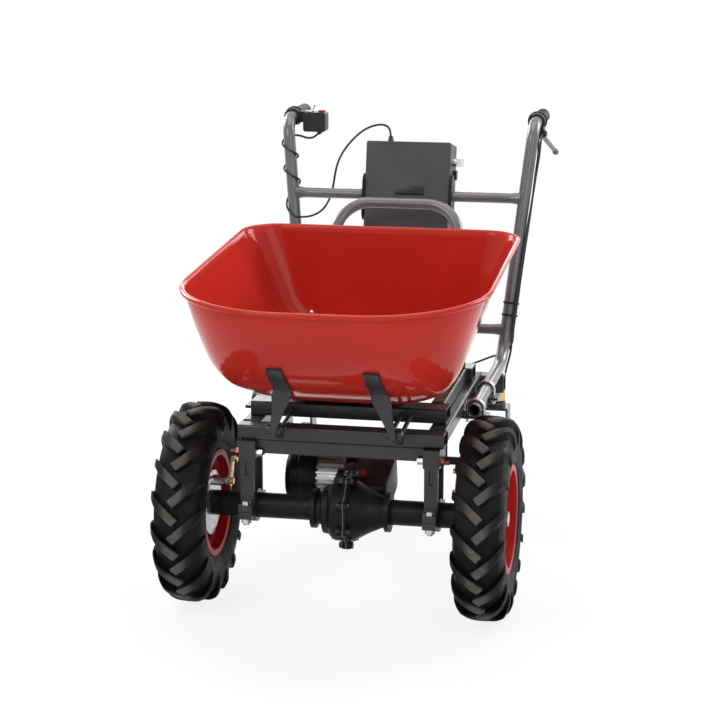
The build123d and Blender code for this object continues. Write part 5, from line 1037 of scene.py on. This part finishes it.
class BARROW_OT_tyres(Operator):
    """Moulds both drive tyres with their slanted lugs"""

    bl_idname = "barrow.tyres"
    bl_label = "Drive tyres"

    def execute(self, context):
        carcass = self.carcass()
        lugs = self.lugs(context.scene.barrow_tyres)
        middle = np.array([MM * WHEEL_X, 0.0, MM * AXLE_Z])
        for side, name in SIDES:
            blocks = [on_side(lug + middle, side) for lug in lugs]
            piece = surface(name + "_tyre_skin", blocks, [on_side(carcass + middle, side)])
            dress(piece, "tyre_rubber", name + "_wheel", name + "_tyre")
        return {"FINISHED"}

    def round_axle(self, across, radius, turn):
        """Places at a distance from the tyre's middle and a radius, turned about the axle from straight up.

        The tread is drawn in a little on its outer side and less on its inner side, above the beads.
        """
        across, radius, turn = np.broadcast_arrays(across, radius, turn)
        most = np.where(across > 0.0, OUTER_DRAW, INNER_DRAW)
        draw = most * smooth((np.abs(across) - 22.0) / 36.0) * smooth((radius - 113.0) / 25.0)
        across = across - np.sign(across) * draw
        return np.stack([across, radius * np.sin(turn), radius * np.cos(turn)], -1)

    def outside(self, inset):
        """Half the carcass's outside from crown to bead: two arcs through three places, less an inset."""
        crown = arc((0.0, 191.5 - inset), (24.0, 190.0 - inset), (46.0, 182.5 - inset), 16)
        flank = arc((46.0, 182.5 - inset), (55.0 - inset, 150.0), (43.7 - inset, 116.5), 46)
        return np.vstack([crown, flank[1:]])

    def carcass(self):
        """The tyre without lugs: its closed section, with three low rings on each flank, turned round."""
        half = self.outside(0.0)
        for middle, height in ((143.0, 0.9), (131.0, 1.2), (121.0, 1.0)):
            half[:, 0] += height * np.exp(-((half[:, 1] - middle) / 1.5) ** 2)
        bead_end = [(39.7, 111.5), (39.7, 101.8), (26.7, 101.8), (26.7, 109.8)]
        inner_flank = arc((26.7, 109.8), (47.5, 149.0), (40.0, 171.0), 9)[1:]
        inner_crown = arc((40.0, 171.0), (22.0, 180.0), (0.0, 183.0), 6)[1:]
        half = np.vstack([half, bead_end, inner_flank, inner_crown])
        section = np.vstack([half, half[-2:0:-1] * np.array([-1.0, 1.0])])
        return self.round_axle(section[:, :1], section[:, 1:], circle(160)[None, :])

    def lugs(self, settings):
        """Every lug as a block of its own, on both halves of the tyre.

        A lug runs along the tread's top section, from just past the crown over the shoulder to its foot on
        the flank. It slants by the tangent of its angle times its distance from the middle, so that it
        straightens where the section drops. Its outline across the run has drafted walls and rounded upper
        edges, and each point lies between a section inside the carcass and the tread's top by the outline's
        height, drawn in at the two ends.
        """
        top = np.vstack([arc((0.0, 207.4), (26.0, 205.9), (44.5, 199.5), 30),
                         arc((44.5, 199.5), (54.0, 187.0), (58.4, 168.0), 22)[1:],
                         arc((58.4, 168.0), (58.9, 160.0), (57.5, 148.0), 14)[1:]])
        below = self.outside(LUG_ROOT)
        below = below[below[:, 1] > LUG_FOOT]
        run = run_along(top)
        foot = np.linspace(0.0, run[-1], len(below))
        slant = math.tan(math.radians(settings.slant))
        start, end = -LUG_PAST_CROWN, run[-1]
        along = np.concatenate([start + np.array([0.0, 0.5, 1.7]), np.linspace(start + 4.0, end - 10.0, 30),
                                end - np.array([6.5, 3.5, 1.0])])
        height = np.concatenate([[0.86, 0.96], np.ones(31), [0.86, 0.55, 0.15]])
        pinch = np.concatenate([[0.93, 0.985], np.ones(34)])
        side = [(9.5, 0.0), (9.1, 0.3), (8.75, 0.6), (8.5, 0.87), (8.1, 0.96), (7.2, 1.0), (3.6, 1.0)]
        outline = np.array([(-t, h) for t, h in side] + [(0.0, 1.0)] + side[::-1])
        outline = outline * np.array([settings.width / LUG_WIDTH, 1.0])
        aside = np.sign(along) * np.interp(np.abs(along), run, top[:, 0])
        drop = np.interp(np.abs(along), run, np.gradient(top[:, 0], run)) * slant
        length = np.hypot(1.0, drop)
        t = outline[None, :, 0] * pinch[:, None]
        place = along[:, None] - t * (drop / length)[:, None]
        ahead = aside[:, None] * slant + t * (1.0 / length)[:, None]
        upper = [np.interp(np.abs(place), run, top[:, k]) for k in (0, 1)]
        lower = [np.interp(np.abs(place), foot, below[:, k]) for k in (0, 1)]
        share = outline[None, :, 1] * height[:, None]
        across = np.sign(place) * (lower[0] + share * (upper[0] - lower[0]))
        radius = lower[1] + share * (upper[1] - lower[1])
        step = 2.0 * np.pi / settings.lugs
        blocks = []
        for count in range(settings.lugs):
            for half, shift in ((1.0, 0.0), (-1.0, 0.5)):
                turn = ahead / TREAD_RADIUS + step * (count + shift)
                blocks.append(self.round_axle(half * across, radius, turn))
        return blocks


class BARROW_OT_grips(Operator):
    """Moulds the ringed grip on the left and the fluted throttle grip on the right"""

    bl_idname = "barrow.grips"
    bl_label = "Grips"

    def execute(self, context):
        for side, name, body, ringed in ((1.0, "left_grip", "chassis", True),
                                         (-1.0, "throttle_grip", "throttle", False)):
            base = (side * HANDLE_HEAD[0], 0.0, HANDLE_HEAD[2])
            piece = surface(name + "_sleeve", [self.sleeve(base, ringed)])
            dress(piece, "grip_rubber", body, name)
        return {"FINISHED"}

    def sleeve(self, base, ringed):
        """A rubber sleeve: bore, rounded flange, a waist that swells in the middle, and a domed end.

        Rings ripple the radius along it every 5 mm, and flutes ripple it round the axis 22 times.
        """
        along = np.linspace(GRIP_START + 9.0, GRIP_END - 7.0, 141)
        share = (along - along[0]) / (along[-1] - along[0])
        swell = 15.9 + 0.7 * np.sin(np.pi * share)
        held = smooth(share / 0.06) * smooth((1.0 - share) / 0.06)
        if ringed:
            swell = swell + 0.55 * held * np.sin(2.0 * np.pi * along / 5.0)
        bore = [(GRIP_END - 4.0, 14.1), (GRIP_START, 14.1)]
        flange = [(0.0, 21.5), (1.0, 22.7), (3.0, 23.0), (5.0, 22.6), (6.3, 20.5), (7.2, 17.2)]
        dome = [(-5.0, 16.6), (-2.0, 15.4), (-0.5, 13.0), (0.0, 9.5)]
        profile = np.vstack([bore, np.add(flange, (GRIP_START, 0.0)), np.stack([along, swell], 1),
                             np.add(dome, (GRIP_END, 0.0))])
        depth = np.zeros(len(profile))
        if not ringed:
            depth[len(bore) + len(flange):-len(dome)] = 0.5 * held
        return turned(base, (0, 1, 0), profile, 88, 22, depth)


class BARROW_OT_drive_cases(Operator):
    """Makes the gear case behind the differential and the motor's end bell"""

    bl_idname = "barrow.drive_cases"
    bl_label = "Drive cases"

    def execute(self, context):
        along = np.array([0.0, math.cos(GEAR_CASE_LEAN), math.sin(GEAR_CASE_LEAN)])
        up = np.array([0.0, -along[2], along[1]])
        rear = GEAR_CASE + 46.0 * along + (-3.0, 0.0, 0.0)
        cases = [plate(GEAR_CASE, along, up, (134.0, 76.0), 113.0, 14.0, 3.0),
                 plate(rear, along, up, (52.0, 86.0), 40.0, 20.0, 3.0)]
        dress(surface("gear_box", cases), "drive_black", "chassis", "gear_case")
        dress(surface("end_bell", [self.bell()]), "drive_black", "chassis", "motor_end_bell")
        return {"FINISHED"}

    def bell(self):
        """The motor's end bell: a turned cup with a lip, a groove and a rounded end."""
        profile = [(0.0, 56.0), (0.4, 58.3), (1.2, 59.0), (5.0, 59.0), (6.0, 58.5), (40.0, 58.5),
                   (41.5, 57.2), (49.0, 57.0), (50.0, 55.8), (52.0, 55.8), (53.0, 56.6), (60.0, 55.4),
                   (64.5, 52.6), (67.6, 47.6), (68.8, 42.0), (69.0, 20.0), (67.0, 18.0), (67.0, 8.0)]
        return turned(MOTOR_MIDDLE, (-1, 0, 0), profile, 72)


class BARROW_OT_drive_trim(Operator):
    """Adds the gasket in the differential's seam, and the plug and breather on the gear case"""

    bl_idname = "barrow.drive_trim"
    bl_label = "Drive trim"

    def execute(self, context):
        dress(surface("seam_gasket", rings=[self.gasket()]), "gasket", "chassis")
        plug = [(-2.0, 7.0), (1.5, 7.0), (2.0, 6.0), (3.0, 6.0), (3.2, 7.6), (8.0, 7.6), (9.0, 6.8),
                (9.2, 3.0)]
        ribs = [0.0, 0.0, 0.0, 0.0, 0.5, 0.5, 0.3, 0.0]
        grid = turned((30.0, 66.0, 264.5), GEAR_CASE_UP, plug, 48, 12, ribs)
        dress(surface("oil_plug", [grid]), "red_plastic", "chassis")
        cap = [(-2.0, 5.0), (4.0, 5.0), (4.5, 8.5), (5.2, 9.3), (9.5, 9.3), (11.0, 8.2), (11.6, 5.0)]
        grid = turned((4.0, 84.0, 269.3), GEAR_CASE_UP, cap, 40)
        dress(surface("breather", [grid]), "black_plastic", "chassis")
        return {"FINISHED"}

    def gasket(self):
        """A thin ring in the seam, out to the larger of the flange's circle and the bosses' circles."""
        turn = circle(480)
        off = np.radians(np.mod(np.degrees(turn), 45.0) - 22.5)
        reach = np.sqrt(np.maximum(SEAM_BOSS ** 2 - (SEAM_BOLT_RADIUS * np.sin(off)) ** 2, 0.0))
        boss = np.maximum(FLANGE_RADIUS, SEAM_BOLT_RADIUS * np.cos(off) + reach)
        outline = np.where(reach > 0.0, boss, FLANGE_RADIUS)
        across, out = np.array([(-0.8, -4.0), (-0.8, 0.5), (0.8, 0.5), (0.8, -4.0)]).T[:, :, None]
        radius = outline + out
        x = np.broadcast_to(SEAM_X + across, radius.shape)
        return np.stack([x, radius * np.cos(turn), MM * AXLE_Z + radius * np.sin(turn)], -1)


class BARROW_OT_box_trim(Operator):
    """Adds the bare plate on the battery box and the collar round the direction switch"""

    bl_idname = "barrow.box_trim"
    bl_label = "Box trim"

    def execute(self, context):
        up = (0.0, math.sin(BOX_LEAN), math.cos(BOX_LEAN))
        out = np.array([0.0, -math.cos(BOX_LEAN), math.sin(BOX_LEAN)])
        grid = plate(BOX_PLATE - 0.4 * out, (1.0, 0.0, 0.0), up, (71.0, 21.0), 1.6, 2.5, 0.5)
        dress(surface("box_plate", [grid]), "plate_black", "chassis")
        ring = [(7.0, 7.3), (6.8, 9.0), (7.4, 9.8), (9.2, 9.8), (9.8, 9.0), (9.6, 7.3)]
        grid = turned(from_axle(JOINTS["direction_flick"]["pos_m"]), (0, 0, 1), ring, 36)
        dress(surface("toggle_collar", rings=[grid]), "bright_zinc", "chassis")
        return {"FINISHED"}


class BARROW_OT_hangers(Operator):
    """Closes the slots in the axle hangers to recesses"""

    bl_idname = "barrow.hangers"
    bl_label = "Hangers"

    def execute(self, context):
        recesses = []
        for side, _ in SIDES:
            middle = on_side(HANGER_SLOT, side)
            recesses.append(plate(middle, (1.0, 0.0, 0.0), (0.0, 0.0, 1.0), (8.4, 28.4), 5.2, 1.2, 0.4))
        dress(surface("hanger_recesses", recesses), "chassis_coat", "chassis")
        return {"FINISHED"}


class BARROW_OT_welds(Operator):
    """Lays the weld beads on the chassis and on the tray's frame"""

    bl_idname = "barrow.welds"
    bl_label = "Welds"

    def execute(self, context):
        for name, paths, body in (("chassis_welds", self.chassis_paths(), "chassis"),
                                  ("tray_welds", self.tray_paths(), "tray_frame")):
            piece = surface(name, [bead(path) for path in both_sides(paths)])
            dress(piece, "weld_coat", body)
        return {"FINISHED"}

    def chassis_paths(self):
        """Lines on the left: rail to front beam, lug to beam, lower beam to hanger."""
        ends = [
            ((177, 16, 383), (211, 16, 383)), ((175, 16, 381), (175, 16, 355)),
            ((213, 16, 381), (213, 16, 355)), ((118, -24, 378), (118, -24, 359)),
            ((128, -24, 378), (128, -24, 359)), ((173, -18, 351), (173, -18, 325)),
            ((173, -16, 323), (173, 14, 323)),
        ]
        return [straight(first, last) for first, last in ends]

    def tray_paths(self):
        """Lines on the left: side tube to cross tubes, brace and strap to tube, a ring at the loop."""
        ends = [
            ((165, 118, 413), (191, 118, 413)), ((193, 118, 411), (193, 118, 386)),
            ((165, 430, 413), (191, 430, 413)), ((193, 430, 411), (193, 430, 386)),
            ((113, 57.5, 404), (133, 57.5, 404)), ((157, 466.5, 413.5), (183, 466.5, 413.5)),
        ]
        turn = np.linspace(0.1, 2.0 * math.pi + 0.05, 110)
        x, y = 142.0 + 13.0 * np.cos(turn), 476.0 + 16.5 * np.sin(turn)
        ring = np.stack([x, y, np.full_like(turn, 413.5)], 1)
        return [straight(first, last) for first, last in ends] + [ring]


class BARROW_OT_stage(Operator):
    """Sets the floor, the light and the camera"""

    bl_idname = "barrow.stage"
    bl_label = "Stage"

    def execute(self, context):
        settings = context.scene.barrow_stage
        self.floor()
        self.sky(context, settings)
        self.lights(settings)
        self.camera(context, settings)
        context.scene.view_settings.view_transform = "Standard"
        return {"FINISHED"}

    def seen(self, nodes, camera=1.0, mirror=1.0):
        """A level for rays from the camera, one for mirrors and clear pieces, 0 for rays that light."""
        path = nodes.add("ShaderNodeLightPath").outputs
        levels = {"Is Camera Ray": camera, "Is Glossy Ray": mirror, "Is Transmission Ray": mirror}
        total = 0.0
        for name, level in levels.items():
            total = nodes.maths("MAXIMUM", nodes.times(path[name], level), total)
        return total

    def floor(self):
        """A wide pale floor: its own white shows for the most part near the barrow, wholly further out."""
        half = 14.0
        near, far = 0.7, 2.2
        own_white, mirrored_white = 0.84, 0.25
        mesh = bpy.data.meshes.new("floor")
        corners = [(-half, -half, 0), (half, -half, 0), (half, half, 0), (-half, half, 0)]
        mesh.from_pydata(corners, [], [(0, 1, 2, 3)])
        material = bpy.data.materials.new("floor_white")
        material.use_nodes = True
        nodes = Nodes(material.node_tree)
        nodes.tree.nodes.remove(nodes.tree.nodes["Principled BSDF"])
        matt = nodes.add("ShaderNodeBsdfDiffuse", {"Color": (0.86, 0.86, 0.86)}).outputs[0]
        glow = nodes.add("ShaderNodeEmission").outputs[0]
        place = nodes.add("ShaderNodeTexCoord").outputs["Object"]
        away = nodes.add("ShaderNodeVectorMath", {0: place}, operation="LENGTH").outputs["Value"]
        outside = nodes.times(nodes.spread(away, near, far), self.seen(nodes))
        share = nodes.maths("MAXIMUM", self.seen(nodes, own_white, mirrored_white), outside)
        blend = nodes.add("ShaderNodeMixShader", {0: share, 1: matt, 2: glow}).outputs[0]
        nodes.put(nodes.tree.nodes["Material Output"], "Surface", blend)
        mesh.materials.append(material)
        placed("floor", mesh)

    def sky(self, context, settings):
        """White all round to the eye, and a weaker even light on the barrow."""
        world = bpy.data.worlds.new("sky")
        world.use_nodes = True
        nodes = Nodes(world.node_tree)
        inputs = {"Value": self.seen(nodes), "To Min": settings.sky, "To Max": 1.0}
        strength = nodes.add("ShaderNodeMapRange", inputs).outputs["Result"]
        ground = nodes.tree.nodes["Background"]
        nodes.put(ground, "Color", (1.0, 1.0, 1.0))
        nodes.put(ground, "Strength", strength)
        context.scene.world = world

    def lights(self, settings):
        """A soft light at the camera's left, a weaker one at its right, one on top, three behind."""
        target = (0.0, AXLE_Y, 0.45)
        for name, place, size, power in (
            ("key", (-1.9, -3.6, 3.0), (2.0, 2.0), settings.key),
            ("fill", (2.6, -3.4, 1.9), (2.4, 2.4), 0.45 * settings.key),
            ("top", (0.0, 0.1, 3.6), (2.6, 2.6), 0.8 * settings.key),
            ("rim_left", (2.7, 1.9, 2.1), (1.6, 1.6), settings.rim_light),
            ("rim_right", (-2.7, 1.9, 2.1), (1.6, 1.6), settings.rim_light),
            ("strip", (-0.5, 3.6, 1.5), (3.4, 0.9), settings.strip),
        ):
            light = bpy.data.lights.new(name, "AREA")
            light.shape = "RECTANGLE"
            light.size, light.size_y = size
            light.energy = power
            self.aim(placed(name, light), place, target)

    def camera(self, context, settings):
        """The photograph's viewpoint: ahead of the barrow, a little to its left and above."""
        target = np.array([0.0372, AXLE_Y, 0.5244])
        turn, rise = math.radians(settings.azimuth), math.radians(settings.elevation)
        out = np.array([math.sin(turn) * math.cos(rise), -math.cos(turn) * math.cos(rise), math.sin(rise)])
        lens = bpy.data.cameras.new("camera")
        lens.lens = settings.lens
        lens.sensor_width = 36.0
        lens.sensor_fit = "HORIZONTAL"
        lens.clip_end = 60.0
        context.scene.camera = placed("camera", lens)
        self.aim(context.scene.camera, target + settings.distance * out, target)

    def aim(self, item, place, target):
        """Puts a lamp or the camera at a place and turns its -Z to a target."""
        way = np.asarray(target, float) - np.asarray(place, float)
        flat = math.hypot(way[0], way[1])
        item.location = place
        item.rotation_euler = (math.atan2(flat, -way[2]), 0.0, math.atan2(-way[0], way[1]))


class BARROW_PT_looks(Panel):
    """Lists the barrow's operators and settings"""

    bl_label = "Barrow"
    bl_idname = "BARROW_PT_looks"
    bl_space_type = "VIEW_3D"
    bl_region_type = "UI"
    bl_category = "Barrow"

    def draw(self, context):
        for operator in OPERATORS:
            self.layout.operator(operator.bl_idname)
        for group in SETTINGS:
            for name in SETTINGS[group].__annotations__:
                self.layout.prop(getattr(context.scene, group), name)


SETTINGS = {"barrow_paint": BarrowPaint, "barrow_cables": BarrowCables, "barrow_tray": BarrowTray,
            "barrow_tyres": BarrowTyres, "barrow_stage": BarrowStage}
OPERATORS = (BARROW_OT_finishes, BARROW_OT_control_lead, BARROW_OT_brake_cables, BARROW_OT_brake_ends,
             BARROW_OT_tray, BARROW_OT_tray_fittings, BARROW_OT_tyres, BARROW_OT_grips,
             BARROW_OT_drive_cases, BARROW_OT_drive_trim, BARROW_OT_box_trim, BARROW_OT_hangers,
             BARROW_OT_welds, BARROW_OT_stage)


def register():
    """Registers the settings, operators and panel."""
    for group, settings in SETTINGS.items():
        bpy.utils.register_class(settings)
        setattr(bpy.types.Scene, group, PointerProperty(type=settings))
    for operator in OPERATORS:
        bpy.utils.register_class(operator)
    bpy.utils.register_class(BARROW_PT_looks)


def unregister():
    """Takes everything out again."""
    bpy.utils.unregister_class(BARROW_PT_looks)
    for operator in reversed(OPERATORS):
        bpy.utils.unregister_class(operator)
    for group, settings in SETTINGS.items():
        delattr(bpy.types.Scene, group)
        bpy.utils.unregister_class(settings)


def main():
    """Runs every operator in order."""
    register()
    for operator in OPERATORS:
        family, name = operator.bl_idname.split(".")
        getattr(getattr(bpy.ops, family), name)()


if __name__ == "__main__":
    main()
